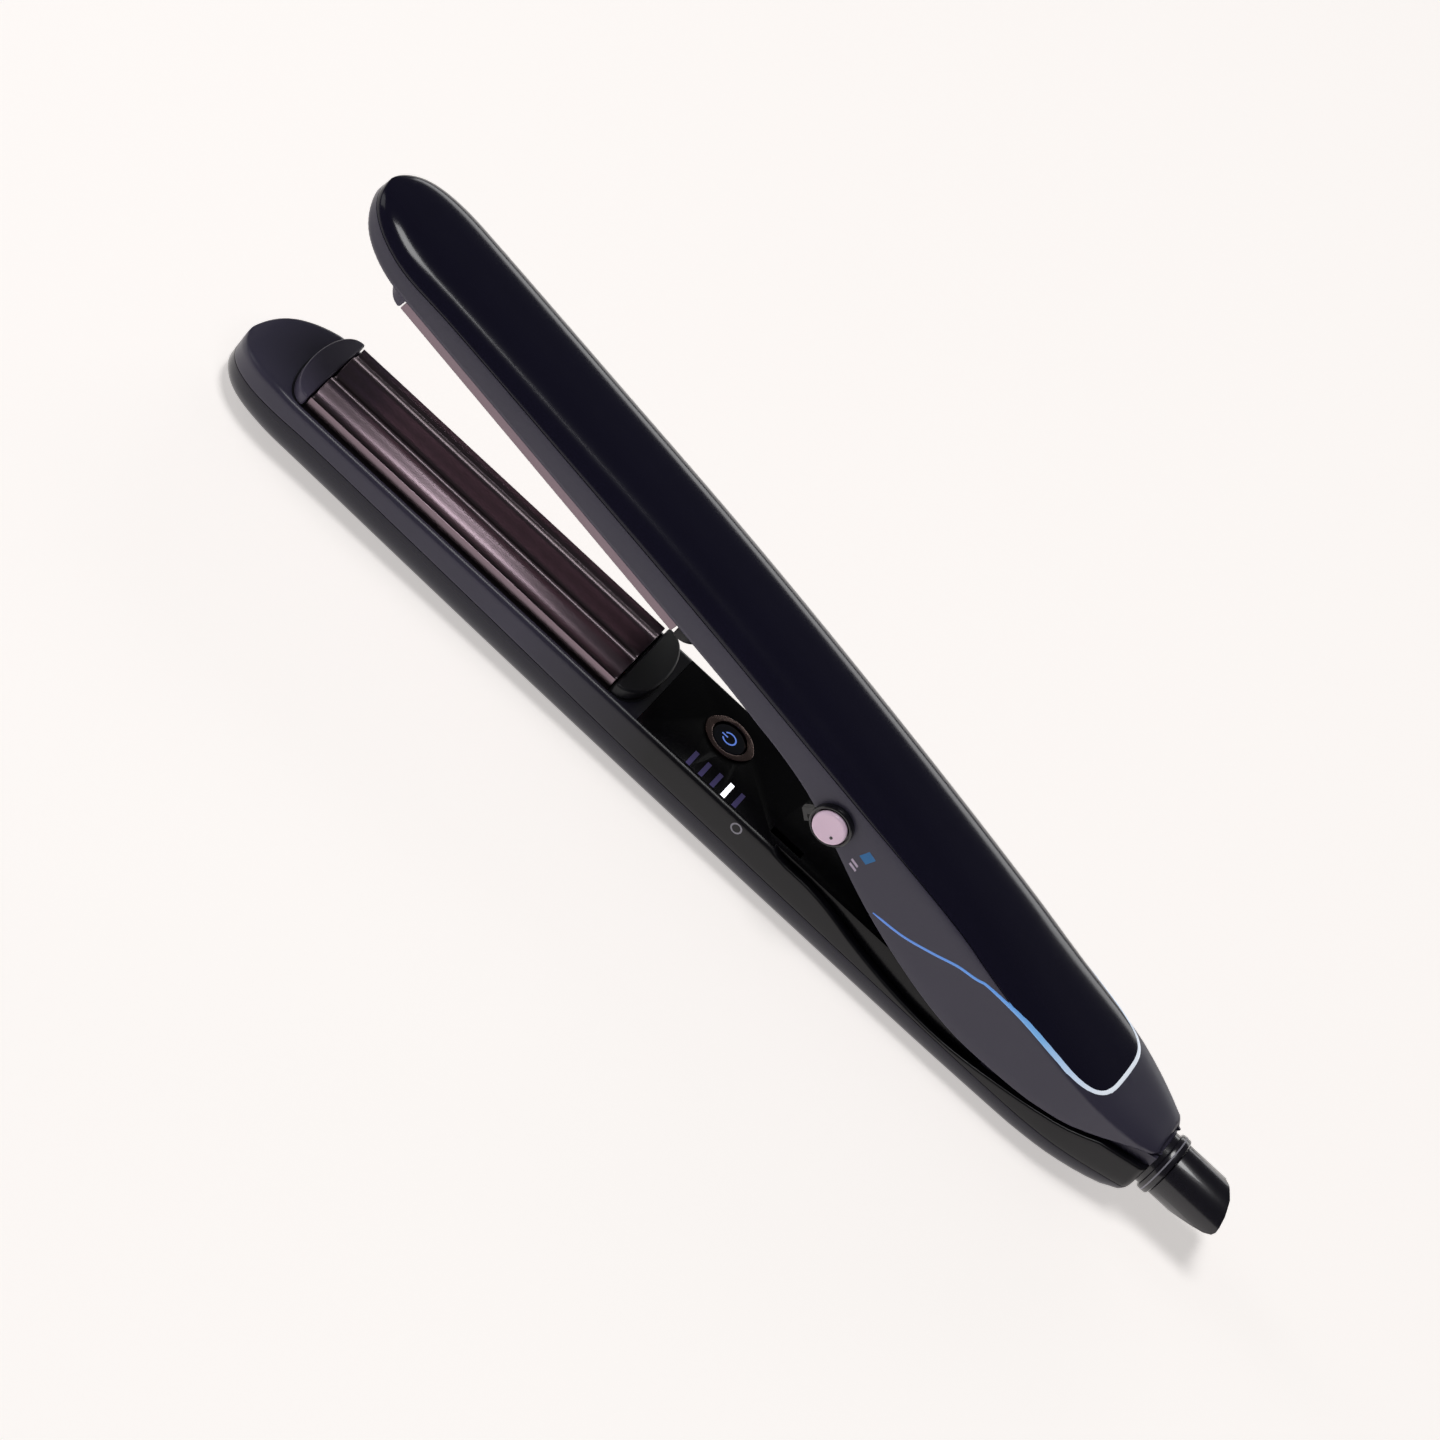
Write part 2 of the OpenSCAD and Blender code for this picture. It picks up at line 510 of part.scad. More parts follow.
// Trim strip laid in a groove that follows the skin
function skin(x, s) = let (w = arm_width(x, upper_nose), c = curve(x, upper_crown), h = curve(x, upper_top))
    s <= 0 ? [x, -w, c + s]
    : [x, -w * pow(cos(min(s, 90)), 2 / upper_power), c + (h - c) * pow(sin(min(s, 90)), 2 / upper_power)];
function skin_out(x, s) = let (back = skin(x - 0.5, s), front = skin(x + 0.5, s),
    low = skin(x, s - 1), high = skin(x, min(s + 1, 90)), n = cross(front - back, high - low)) n / norm(n);
trim_steps = 40;
function trim_at(i) = let (q = i * (len(trim_path) - 1) / trim_steps,
    j = min(floor(q), len(trim_path) - 2),
    a = trim_path[j],
    b = trim_path[j + 1]) [a[0] + (b[0] - a[0]) * (q - j), a[1] + (b[1] - a[1]) * (q - j)];
module trim_strip(half_w, depth, proud) {
    line = [for (i = [0:trim_steps]) let (at = trim_at(i)) [skin(at[0], at[1]), skin_out(at[0], at[1])]];
    corners = [[-1, -depth], [1, -depth], [1, proud], [-1, proud]];
    points = [for (i = [0:trim_steps]) let (
        along = unit(line[min(i + 1, trim_steps)][0] - line[max(i - 1, 0)][0]),
        out = line[i][1],
        side = unit(cross(along, out)),
        grow = half_w * (0.75 + 0.5 * i / trim_steps))
        for (c = corners) line[i][0] + side * c[0] * grow + out * c[1]];
    walls = [for (i = [0:trim_steps - 1]) for (k = [0:3]) let (
        a = i * 4 + k,
        b = i * 4 + (k + 1) % 4) each [[a, b, a + 4], [b, b + 4, a + 4]]];
    polyhedron(points = points, faces = concat([[3, 2, 1, 0]],
        [[for (k = [0:3]) trim_steps * 4 + k]], walls));
}
knob_x = 151;
knob_z = 2.3;
module upper_housing() color([0.26, 0.255, 0.31]) placed() opened() difference() {
    upper_form();
    upper_hollows();
    cover_region(0);
    turned_over() plate_opening();
    both_sides() trim_strip(0.72, 0.62, 1);
    both_sides() pin_along_y(hinge_x, 0, 3.2, 0, 14.9);
    pin_along_y(knob_x, knob_z, 1.56, -20, -10);
    box([knob_x - 6.3, -12.6, 1], [knob_x + 6.7, -7.8, roof_z + 1.3]);
}
module upper_cover() color([0.07, 0.065, 0.12]) placed() opened() difference() {
    intersection() {
        upper_form();
        cover_region(seam);
    }
    upper_hollows();
    both_sides() trim_strip(0.72, 0.62, 1);
}
module upper_trim() color([0.55, 0.72, 0.92]) placed() opened() both_sides() trim_strip(0.65, 0.55, 0.08);

module upper_front_cap() color([0.29, 0.285, 0.345]) placed() opened() turned_over() front_cap();
module upper_rear_cap() color([0.11, 0.115, 0.13]) placed() opened() turned_over() rear_cap();
module upper_plate() color([0.45, 0.4, 0.43]) placed() opened() turned_over() hot_plate(-1);
module upper_heater() color([0.92, 0.92, 0.9]) placed() opened() turned_over() heater();
module upper_heat_clip() color([0.7, 0.71, 0.73]) placed() opened() turned_over() heat_clip();
module thermal_fuse() color([0.55, 0.25, 0.12]) placed() opened() turned_over() sensor();
module upper_cushions() color([0.75, 0.3, 0.22]) placed() opened() turned_over() cushions();
module upper_carrier() color([0.05, 0.05, 0.055]) placed() opened() turned_over() carrier();
module upper_screws() color([0.6, 0.61, 0.63]) placed() opened() turned_over() tray_screws();
module upper_wires() color([0.6, 0.12, 0.1]) placed() opened()
    tube([[93, -2, 7.1], [96.6, -2, 7.5], [106, -2, 8.2], [150, -2, 8.2], [190, -2, 7.9], [209, -2, 7.7],
        [215, -4, 6.8], [219, -7.6, 6.4]], 0.8);

module hinge_bushes() color([0.78, 0.6, 0.3]) placed() opened() both_sides() difference() {
    pin_along_y(hinge_x, 0, 3.2, recess_half + 0.35, 14.9);
    pin_along_y(hinge_x, 0, pin_r + fit, 0, 20);
}

// ---- Lock: knob, ring and hook on the near cheek ----
ring_r = knob_r + 1.1;
module knob_ring() color([0.03, 0.03, 0.04]) placed() opened() difference() {
    pin_along_y(knob_x, knob_z, ring_r, -17.1, -arm_half);
    pin_along_y(knob_x, knob_z, knob_r + 0.3, -20, -16.1);
    pin_along_y(knob_x, knob_z, 1.56, -20, -10);
}
module lock_knob() color([0.9, 0.76, 0.86]) placed() opened() {
    pin_along_y(knob_x, knob_z, knob_r, -17.6, -16.4);
    pin_along_y(knob_x, knob_z, knob_r - 0.5, -18, -17.5);
    pin_along_y(knob_x, knob_z, 1.5, -16.5, -9.2);
}
hook_turn = 35;      // how far the knob turns from unlocked to locked
module lock_hook() color([0.09, 0.09, 0.1]) placed() opened() translate([knob_x, 0, knob_z])
    rotate([0, hook_turn, 0]) difference() {
        union() {
            pin_along_y(0, 0, 2.4, -10.9, -9.2);
            across(-10.9, -9.2, [[-0.8, 0], [0.8, 0], [0.8, -8.9], [2.6, -8.9], [2.6, -9.9], [-0.8, -9.9]]);
        }
        pin_along_y(0, 0, 1.5, -20, 0);
    }

lower_housing();
lower_cover();
control_panel();
lower_carrier();
lower_front_cap();
lower_rear_cap();
lower_plate();
lower_heater();
lower_heat_clip();
lower_thermistor();
lower_cushions();
tail_block();
hinge_pin();
hinge_spring();
thrust_washers();
circuit_board();
tact_switch();
led_bars();
led_lit_bar();
power_bezel();
power_button();
keeper();
brush_holder();
contact_brushes();
swivel_collar();
swivel_sleeve();
contact_rings();
lower_screws();
lower_wires();
upper_housing();
upper_cover();
upper_trim();
upper_carrier();
upper_front_cap();
upper_rear_cap();
upper_plate();
upper_heater();
upper_heat_clip();
thermal_fuse();
upper_cushions();
hinge_bushes();
knob_ring();
lock_knob();
lock_hook();
upper_screws();
upper_wires();
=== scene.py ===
"""Studio picture of a hinged wave iron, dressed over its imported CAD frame.

Sizes are in millimetres in the arms' own coordinates: x runs from the front of the plates to the
tail, y across (the near side is negative), and depth away from the plane where the arms meet.
"""

import json
import logging
import math
from dataclasses import dataclass
from enum import Enum
from typing import Callable, Sequence

import bmesh
import bpy
from mathutils import Matrix, Vector


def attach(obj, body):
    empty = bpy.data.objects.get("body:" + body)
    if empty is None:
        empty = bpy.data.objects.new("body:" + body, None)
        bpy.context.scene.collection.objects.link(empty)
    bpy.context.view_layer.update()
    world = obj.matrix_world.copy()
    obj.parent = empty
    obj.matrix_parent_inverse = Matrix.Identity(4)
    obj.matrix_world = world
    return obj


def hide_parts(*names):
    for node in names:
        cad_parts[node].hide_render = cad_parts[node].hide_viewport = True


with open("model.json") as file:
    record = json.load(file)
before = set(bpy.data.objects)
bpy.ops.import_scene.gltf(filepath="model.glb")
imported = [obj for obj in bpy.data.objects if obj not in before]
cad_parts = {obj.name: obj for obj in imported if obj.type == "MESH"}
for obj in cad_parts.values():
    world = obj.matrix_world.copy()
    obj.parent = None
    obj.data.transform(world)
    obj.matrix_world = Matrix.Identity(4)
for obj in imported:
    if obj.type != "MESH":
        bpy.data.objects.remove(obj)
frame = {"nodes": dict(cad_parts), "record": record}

LOG = logging.getLogger("iron")
MM = 0.001
WELD = 2e-6
TINY = 1e-7
CLOUD_MM = 14.0
SHELL_WALL = 1.25
SHELL_ROUND = 0.12
BEVEL_FROM = 38
Pair = tuple[float, float]
Colour = tuple[float, float, float]


class Arm(Enum):
    """The two arms, named as their CAD bodies are."""

    LOWER = "lower_arm"
    UPPER = "upper_arm"


class Grain(Enum):
    """How a surface breaks up close to."""

    MOULDED = "moulded"
    GLOSSY = "glossy"
    BRUSHED = "brushed"
    PLAIN = "plain"


# ---------------------------------------------------------------- shader maths
class Signal:
    """One output of a material's nodes, with arithmetic that adds Math nodes."""

    def __init__(self, graph: "Graph", socket: bpy.types.NodeSocket) -> None:
        """Keep the graph and the socket.

        Args:
            graph: The graph that the socket is in.
            socket: The output socket.
        """
        self.graph = graph
        self.socket = socket

    def _math(self, operation: str, first: "Signal | float", second: "Signal | float") -> "Signal":
        """Add one Math node.

        Args:
            operation: The node's operation.
            first: First value.
            second: Second value.

        Returns:
            The node's output.
        """
        return self.graph.node("ShaderNodeMath", {"operation": operation}, {0: first, 1: second})

    def __add__(self, other: "Signal | float") -> "Signal":
        """Sum."""
        return self._math("ADD", self, other)

    def __sub__(self, other: "Signal | float") -> "Signal":
        """Difference."""
        return self._math("SUBTRACT", self, other)

    def __rsub__(self, other: float) -> "Signal":
        """Difference from a number."""
        return self._math("SUBTRACT", other, self)

    def __mul__(self, other: "Signal | float") -> "Signal":
        """Product."""
        return self._math("MULTIPLY", self, other)

    __radd__ = __add__
    __rmul__ = __mul__


class Graph:
    """The nodes of one material."""

    def __init__(self, name: str) -> None:
        """Start a material with its shader.

        Args:
            name: The material's name.
        """
        self.material = bpy.data.materials.new(name)
        self.material.use_nodes = True
        self.tree = self.material.node_tree
        self.shader = self.tree.nodes["Principled BSDF"]

    def node(self, kind: str, settings: dict, inputs: dict, output: int | str = 0) -> Signal:
        """Add a node of any kind.

        Args:
            kind: The node's type.
            settings: Properties, and "stops" for a ramp, set before the sockets.
            inputs: Socket name or number to a value or a Signal.
            output: Which output is returned.

        Returns:
            The chosen output.
        """
        made = self.tree.nodes.new(kind)
        for key, value in settings.items():
            if key == "stops":
                ramp = made.color_ramp
                while len(ramp.elements) < len(value):
                    ramp.elements.new(0.5)
                for element, (position, colour) in zip(ramp.elements, value):
                    element.position = position
                    element.color = (*colour, 1.0)
            else:
                setattr(made, key, value)
        for key, value in inputs.items():
            self.feed(made.inputs[key], value)
        return Signal(self, made.outputs[output])

    def feed(self, socket: bpy.types.NodeSocket, value: object) -> None:
        """Link a Signal to a socket, or set the socket's own value.

        Args:
            socket: The input socket.
            value: A Signal, number, vector or colour.
        """
        if isinstance(value, Signal):
            self.tree.links.new(value.socket, socket)
        elif isinstance(value, tuple) and len(value) == 3 and socket.type == "RGBA":
            socket.default_value = (*value, 1.0)
        else:
            socket.default_value = value

    def shade(self, **values: object) -> None:
        """Set the shader's sockets; an underscore in a name stands for a space."""
        for key, value in values.items():
            self.feed(self.shader.inputs[key.replace("_", " ")], value)

    def where(self, scale: Colour = (1.0, 1.0, 1.0)) -> Signal:
        """Object coordinates, stretched.

        Args:
            scale: Scale along each axis.

        Returns:
            The stretched coordinates.
        """
        spot = self.node("ShaderNodeTexCoord", {}, {}, "Object")
        return self.node("ShaderNodeMapping", {}, {"Vector": spot, "Scale": scale})

    def noise(self, size_mm: float, detail: float = 3.0,
              stretch: Colour = (1.0, 1.0, 1.0)) -> Signal:
        """Noise of a given grain.

        Args:
            size_mm: Size of the grain.
            detail: Octaves.
            stretch: Scale along each axis before the noise.

        Returns:
            A value from 0 to 1.
        """
        inputs = {"Vector": self.where(stretch), "Scale": 1000.0 / size_mm, "Detail": detail}
        return self.node("ShaderNodeTexNoise", {}, inputs)

    def blend(self, factor: Signal | float, first: object, second: object) -> Signal:
        """Mix two colours.

        Args:
            factor: 0 for the first, 1 for the second.
            first: First colour.
            second: Second colour.

        Returns:
            The mixed colour.
        """
        inputs = {0: factor, 6: first, 7: second}
        return self.node("ShaderNodeMix", {"data_type": "RGBA"}, inputs, 2)

    def ramp(self, low: float, high: float, stops: list) -> Signal:
        """A colour that changes along the row frame's x.

        Args:
            low: Where the first colour is, in metres.
            high: Where the last colour is, in metres.
            stops: (position from 0 to 1, colour) pairs.

        Returns:
            The colour.
        """
        place = self.node("ShaderNodeSeparateXYZ", {}, {0: self.where()}, "X")
        along = (place - low) * (1 / (high - low))
        return self.node("ShaderNodeValToRGB", {"stops": stops}, {0: along})

    def relief(self, height: Signal, depth_mm: float, strength: float = 1.0) -> Signal:
        """Turn a height into a bumped normal.

        Args:
            height: Height from 0 to 1.
            depth_mm: How deep the height goes.
            strength: The bump's strength.

        Returns:
            The normal.
        """
        inputs = {"Height": height, "Distance": depth_mm * MM, "Strength": strength}
        return self.node("ShaderNodeBump", {}, inputs, "Normal")


def linear(red: int, green: int, blue: int) -> Colour:
    """Scene-linear colour from display values.

    Args:
        red: 0 to 255.
        green: 0 to 255.
        blue: 0 to 255.

    Returns:
        The linear colour.
    """

    def one(level: int) -> float:
        """One channel."""
        part = level / 255
        return part / 12.92 if part <= 0.04045 else ((part + 0.055) / 1.055) ** 2.4

    return one(red), one(green), one(blue)


@dataclass(frozen=True)
class Finish:
    """What a surface is made of."""

    name: str
    colour: Colour
    second: Colour
    roughness: float
    spread: float = 0.06
    metallic: float = 0.0
    coat: float = 0.0
    coat_roughness: float = 0.05
    grain: Grain = Grain.MOULDED
    grain_mm: float = 0.35
    depth_mm: float = 0.01
    specular: float = 0.5
    glow: float = 0.0

    def material(self) -> bpy.types.Material:
        """Make the material once, and find it again after that.

        Returns:
            The material.
        """
        found = bpy.data.materials.get(f"look_{self.name}")
        if found:
            return found
        graph = Graph(f"look_{self.name}")
        cloud = graph.noise(CLOUD_MM, 2.0)
        stretch = (0.02, 1.0, 1.0) if self.grain is Grain.BRUSHED else (1.0, 1.0, 1.0)
        fine = graph.noise(self.grain_mm, 3.0, stretch)
        tone = graph.blend(cloud * 0.6 + fine * 0.4, self.colour, self.second)
        graph.shade(Base_Color=tone, Metallic=self.metallic, Specular_IOR_Level=self.specular)
        graph.shade(Coat_Weight=self.coat, Coat_Roughness=self.coat_roughness)
        graph.shade(Roughness=(fine * 0.6 + cloud * 0.4 - 0.5) * (2 * self.spread) + self.roughness)
        if self.depth_mm and self.grain is not Grain.PLAIN:
            graph.shade(Normal=graph.relief(fine, self.depth_mm, 0.6))
        if self.glow:
            graph.shade(Emission_Color=tone, Emission_Strength=self.glow)
        return graph.material


SHELL = Finish("shell_gloss", linear(22, 20, 37), linear(25, 23, 42), 0.16, 0.03, coat=0.06,
               coat_roughness=0.06, grain=Grain.GLOSSY, grain_mm=2.4, depth_mm=0.0015,
               specular=0.3)
HOUSING = Finish("housing_satin", linear(60, 57, 74), linear(67, 64, 82), 0.34, 0.05,
                 grain_mm=0.3, depth_mm=0.006, specular=0.4)
CAP_GRAY = Finish("cap_gray", linear(76, 71, 90), linear(83, 78, 98), 0.36, 0.05, grain_mm=0.4,
                  depth_mm=0.008, specular=0.4)
CAP_BLACK = Finish("cap_black", linear(20, 20, 25), linear(25, 25, 30), 0.4, 0.06, grain_mm=0.4,
                   depth_mm=0.01, specular=0.3)
PANEL = Finish("panel_gloss", linear(6, 6, 9), linear(8, 8, 12), 0.22, 0.04,
               grain=Grain.GLOSSY, grain_mm=3.0, depth_mm=0.001, specular=0.25)
PLATE = Finish("plate_coating", linear(128, 112, 120), linear(140, 124, 132), 0.3, 0.03, 1.0,
               grain=Grain.BRUSHED, grain_mm=1.6, depth_mm=0.0)
STEEL = Finish("steel", linear(165, 166, 170), linear(185, 186, 190), 0.3, 0.08, 1.0,
               grain=Grain.BRUSHED)
ALUMINIUM = Finish("clip_aluminium", linear(175, 177, 182), linear(195, 197, 200), 0.38, 0.08,
                   1.0, grain=Grain.BRUSHED)
BRONZE = Finish("bronze", linear(176, 140, 84), linear(196, 160, 98), 0.36, 0.08, 1.0)
COPPER = Finish("copper", linear(196, 150, 92), linear(210, 164, 104), 0.28, 0.06, 1.0)
BEZEL = Finish("bezel_bronze", linear(128, 108, 104), linear(150, 126, 118), 0.24, 0.05, 1.0,
               grain=Grain.BRUSHED, grain_mm=0.3, depth_mm=0.003)
BUTTON = Finish("button_gloss", linear(10, 14, 30), linear(14, 20, 40), 0.12, 0.03, coat=0.5,
                grain=Grain.GLOSSY, grain_mm=2.0, depth_mm=0.001)
SYMBOL = Finish("symbol_blue", linear(84, 118, 205), linear(104, 138, 222), 0.4, glow=0.9,
                grain=Grain.PLAIN)
BAR_DIM = Finish("light_bar", linear(62, 56, 96), linear(74, 66, 112), 0.3, glow=0.35,
                 grain=Grain.PLAIN)
BAR_LIT = Finish("light_bar_lit", linear(242, 242, 255), linear(255, 255, 255), 0.3, glow=1.6,
                 grain=Grain.PLAIN)
RING_MARK = Finish("ring_mark", linear(140, 138, 150), linear(156, 154, 166), 0.5,
                   grain=Grain.PLAIN)
MARK_BLUE = Finish("mark_blue", linear(18, 108, 172), linear(36, 124, 190), 0.5,
                   grain=Grain.PLAIN)
MARK_PALE = Finish("mark_pale", linear(190, 176, 200), linear(205, 190, 214), 0.5,
                   grain=Grain.PLAIN)
SWIVEL = Finish("swivel_gloss", linear(24, 22, 30), linear(30, 28, 37), 0.24, 0.04, coat=0.3,
                grain=Grain.GLOSSY, grain_mm=2.0, depth_mm=0.002)
KNOB = Finish("knob_face", linear(255, 220, 246), linear(255, 228, 250), 0.3, 0.04, coat=0.2,
              grain_mm=0.5, depth_mm=0.004)
KNOB_DARK = Finish("knob_black", linear(14, 14, 18), linear(20, 20, 25), 0.25, 0.04, coat=0.3)
TRAY = Finish("carrier", linear(20, 20, 22), linear(28, 28, 30), 0.55, 0.06, depth_mm=0.02)
CERAMIC = Finish("ceramic", linear(236, 236, 232), linear(246, 246, 242), 0.5, 0.05)
SENSOR = Finish("sensor", linear(140, 70, 40), linear(160, 84, 48), 0.35, 0.05, coat=0.3)
SILICONE = Finish("silicone", linear(196, 90, 66), linear(210, 100, 76), 0.6, 0.05)
WASHER = Finish("washer", linear(212, 206, 190), linear(222, 216, 202), 0.5, 0.05)
BOARD = Finish("board", linear(20, 84, 54), linear(28, 98, 62), 0.35, 0.05, coat=0.3)
BLACK = Finish("plain_black", linear(34, 34, 38), linear(42, 42, 46), 0.5, 0.06)
WIRE = Finish("wire", linear(150, 34, 28), linear(168, 44, 36), 0.5, 0.06)

KEPT: dict[str, Finish] = {
    "lower_carrier": TRAY, "upper_carrier": TRAY, "lower_heater": CERAMIC, "upper_heater": CERAMIC,
    "lower_heat_clip": ALUMINIUM, "upper_heat_clip": ALUMINIUM, "lower_thermistor": SENSOR,
    "thermal_fuse": SENSOR, "lower_cushions": SILICONE, "upper_cushions": SILICONE,
    "hinge_pin": STEEL, "hinge_spring": STEEL, "thrust_washers": WASHER, "circuit_board": BOARD,
    "tact_switch": BLACK, "led_bars": BAR_DIM, "led_lit_bar": BAR_LIT, "keeper": STEEL,
    "brush_holder": BLACK, "contact_brushes": COPPER, "contact_rings": COPPER,
    "lower_screws": STEEL, "upper_screws": STEEL, "lower_wires": WIRE, "upper_wires": WIRE,
    "hinge_bushes": BRONZE, "lock_hook": KNOB_DARK,
}


# ---------------------------------------------------------------- shape
@dataclass(frozen=True)
class Curve:
    """Smooth curve through key points."""

    keys: tuple[Pair, ...]

    def slope(self, index: int) -> float:
        """Slope at a key.

        Args:
            index: The key's number.

        Returns:
            The slope.
        """
        low, high = max(index - 1, 0), min(index + 1, len(self.keys) - 1)
        return (self.keys[high][1] - self.keys[low][1]) / (self.keys[high][0] - self.keys[low][0])

    def at(self, x: float) -> float:
        """Value at x.

        Args:
            x: Where to read the curve.

        Returns:
            The value.
        """
        keys = self.keys
        if x <= keys[0][0]:
            return keys[0][1]
        if x >= keys[-1][0]:
            return keys[-1][1]
        i = next(k for k in range(len(keys) - 1) if x < keys[k + 1][0])
        run = keys[i + 1][0] - keys[i][0]
        t = (x - keys[i][0]) / run
        start = keys[i][1] * (1 + 2 * t) * (1 - t) ** 2 + self.slope(i) * run * t * (1 - t) ** 2
        leave = self.slope(i + 1) * run * t * t * (1 - t)
        return start + keys[i + 1][1] * t * t * (3 - 2 * t) - leave


@dataclass(frozen=True)
class Placing:
    """Takes the arms' own millimetres to the row frame's metres."""

    shift: Vector
    pivot_x: float
    angle: float

    def at(self, arm: Arm, x: float, y: float, depth: float) -> Vector:
        """A point of an arm in the row frame.

        Args:
            arm: Which arm.
            x: Along the arm.
            y: Across.
            depth: Away from the closing plane.

        Returns:
            The point in metres.
        """
        if arm is Arm.LOWER:
            return Vector((x, y, -depth)) * MM + self.shift
        along, cos, sin = x - self.pivot_x, math.cos(self.angle), math.sin(self.angle)
        turned = Vector((self.pivot_x + along * cos + depth * sin, y, depth * cos - along * sin))
        return turned * MM + self.shift


def read_placing(pivot_x: float = 224.5) -> Placing:
    """Find the arms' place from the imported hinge.

    Args:
        pivot_x: The hinge pin's place along the arms.

    Returns:
        The placing.
    """
    hinge = next(j for j in frame["record"]["behaviour"]["joints"] if j["name"] == "arm_hinge")
    shift = Vector(hinge["pos_m"]) - Vector((pivot_x * MM, 0.0, 0.0))
    return Placing(shift, pivot_x, math.radians(-hinge["range_deg"][0]))


@dataclass(frozen=True)
class ArmForm:
    """The outer form of one arm, as a row of cross sections."""

    arm: Arm
    placing: Placing
    tip: float
    end: float
    power: float
    edge: float
    face: Curve
    crown: Curve
    outer: Curve
    seam: Curve
    tail: Curve
    rest: float = 99.0
    half: float = 15.4
    nose: float = 22.65
    nose_power: float = 2.2
    tail_from: float = 228.0
    end_round: float = 1.6
    sharper: Pair = (112.0, 0.08)

    def width(self, x: float) -> float:
        """Half width at x.

        Args:
            x: Along the arm.

        Returns:
            The half width.
        """
        t = min(max((self.tip + self.nose - x) / self.nose, 0.0), 1.0)
        nose = self.half * max(0.0, 1 - t**self.nose_power) ** (1 / self.nose_power)
        body = self.half if x < self.tail_from else self.tail.at(x)
        return min(nose, body) - self.inset(x)

    def inset(self, x: float) -> float:
        """How far the skin draws in where the tail is rounded off.

        Args:
            x: Along the arm.

        Returns:
            The inset.
        """
        t = min(max((x - self.end + self.end_round) / self.end_round, 0.0), 1.0)
        return self.end_round * (1 - math.sqrt(1 - t * t))

    def radius(self, x: float) -> float:
        """Rounding between the face and the side.

        Args:
            x: Along the arm.

        Returns:
            The radius.
        """
        start, rate = self.sharper
        edge = self.edge
        if x >= start and self.arm is Arm.UPPER:
            edge = max(0.7, self.edge - (x - start) * rate)
        height = self.outer.at(x) - self.face.at(x)
        return max(0.02, min(edge, self.width(x) * 0.45, height * 0.3))

    def crown_depth(self, x: float) -> float:
        """Depth where the side starts to curve over.

        Args:
            x: Along the arm.

        Returns:
            The depth.
        """
        return max(self.crown.at(x), self.face.at(x) + self.radius(x) + 0.2)

    def over(self, x: float, t: float) -> Pair:
        """A point on the crown: t is 0 at the side and 1 on the middle line.

        Args:
            x: Along the arm.
            t: Way over the crown.

        Returns:
            (y, depth), with y positive.
        """
        m, t = self.power / 2, min(max(t, 0.0), 1.0)
        angle = math.pi / 2 * (t**m / (t**m + (1 - t) ** m))
        low, high = self.crown_depth(x), self.outer.at(x) - self.inset(x)
        across = max(0.0, math.cos(angle)) ** (1 / m) if t < 1 else 0.0
        depth = low + (high - low) * abs(math.sin(angle)) ** (1 / m)
        return self.width(x) * across, min(depth, self.rest)

    def way(self, share: float) -> float:
        """The t of over() for a share of the quarter turn.

        Args:
            share: Angle as a share of a quarter turn.

        Returns:
            t.
        """
        share = min(max(share, 0.0), 1.0)
        if share >= 1:
            return 1.0
        ratio = (share / (1 - share)) ** (2 / self.power)
        return ratio / (1 + ratio)

    def way_at_depth(self, x: float, depth: float) -> float:
        """The t of over() at a depth.

        Args:
            x: Along the arm.
            depth: Away from the closing plane.

        Returns:
            t.
        """
        low, high = self.crown_depth(x), self.outer.at(x) - self.inset(x)
        part = min(max((depth - low) / (high - low), 0.0), 1.0)
        return self.way(2 / math.pi * math.asin(part ** (self.power / 2)))

    def side(self, x: float, depth: float) -> Pair:
        """A point on the side.

        Args:
            x: Along the arm.
            depth: Away from the closing plane.

        Returns:
            (y, depth), with y positive.
        """
        if depth <= self.crown_depth(x):
            return self.width(x), depth
        return self.over(x, self.way_at_depth(x, depth))

    def point(self, x: float, y: float, depth: float) -> Vector:
        """A point of this arm in the row frame."""
        return self.placing.at(self.arm, x, y, depth)

    def stations(self, stops: Sequence[float] = (), step: float = 3.6) -> list[float]:
        """Places for cross sections: close together round the nose and the tail.

        Args:
            stops: Places that must be among them.
            step: The longest step between two.

        Returns:
            The places in order.
        """
        full, start = self.tip + self.nose, self.end - self.end_round
        nose = [self.tip + self.nose * (1 - math.cos(math.radians(a))) for a in range(0, 90, 4)]
        marks = sorted([full, start, *[s for s in stops if s > full]])
        body: list[float] = []
        for low, high in zip(marks, marks[1:]):
            count = max(1, math.ceil((high - low) / step))
            body += [low + (high - low) * k / count for k in range(count)]
        tail = [start + self.end_round * math.sin(math.radians(a)) for a in range(0, 91, 15)]
        early = [s for s in stops if s <= full]
        return sorted([*nose, *early, *body, *tail])


Row = Callable[[float], list[Pair]]
Keep = Callable[[float, int], bool]


def grid(table: Sequence[Sequence[Vector]]) -> tuple[bmesh.types.BMesh, dict]:
    """A grid of faces whose corners lie at the table's points.

    Args:
        table: Rows of points.

    Returns:
        The mesh, and each face's (row, column).
    """
    rows, columns = len(table) - 1, len(table[0]) - 1
    made = bmesh.new()
    bmesh.ops.create_grid(made, x_segments=columns, y_segments=rows, size=0.5)
    spots = {v: (round((v.co.y + 0.5) * rows), round((v.co.x + 0.5) * columns)) for v in made.verts}
    places = {f: tuple(min(spots[v][k] for v in f.verts) for k in (0, 1)) for f in made.faces}
    for v, (row, column) in spots.items():
        v.co = table[row][column]
    return made, places


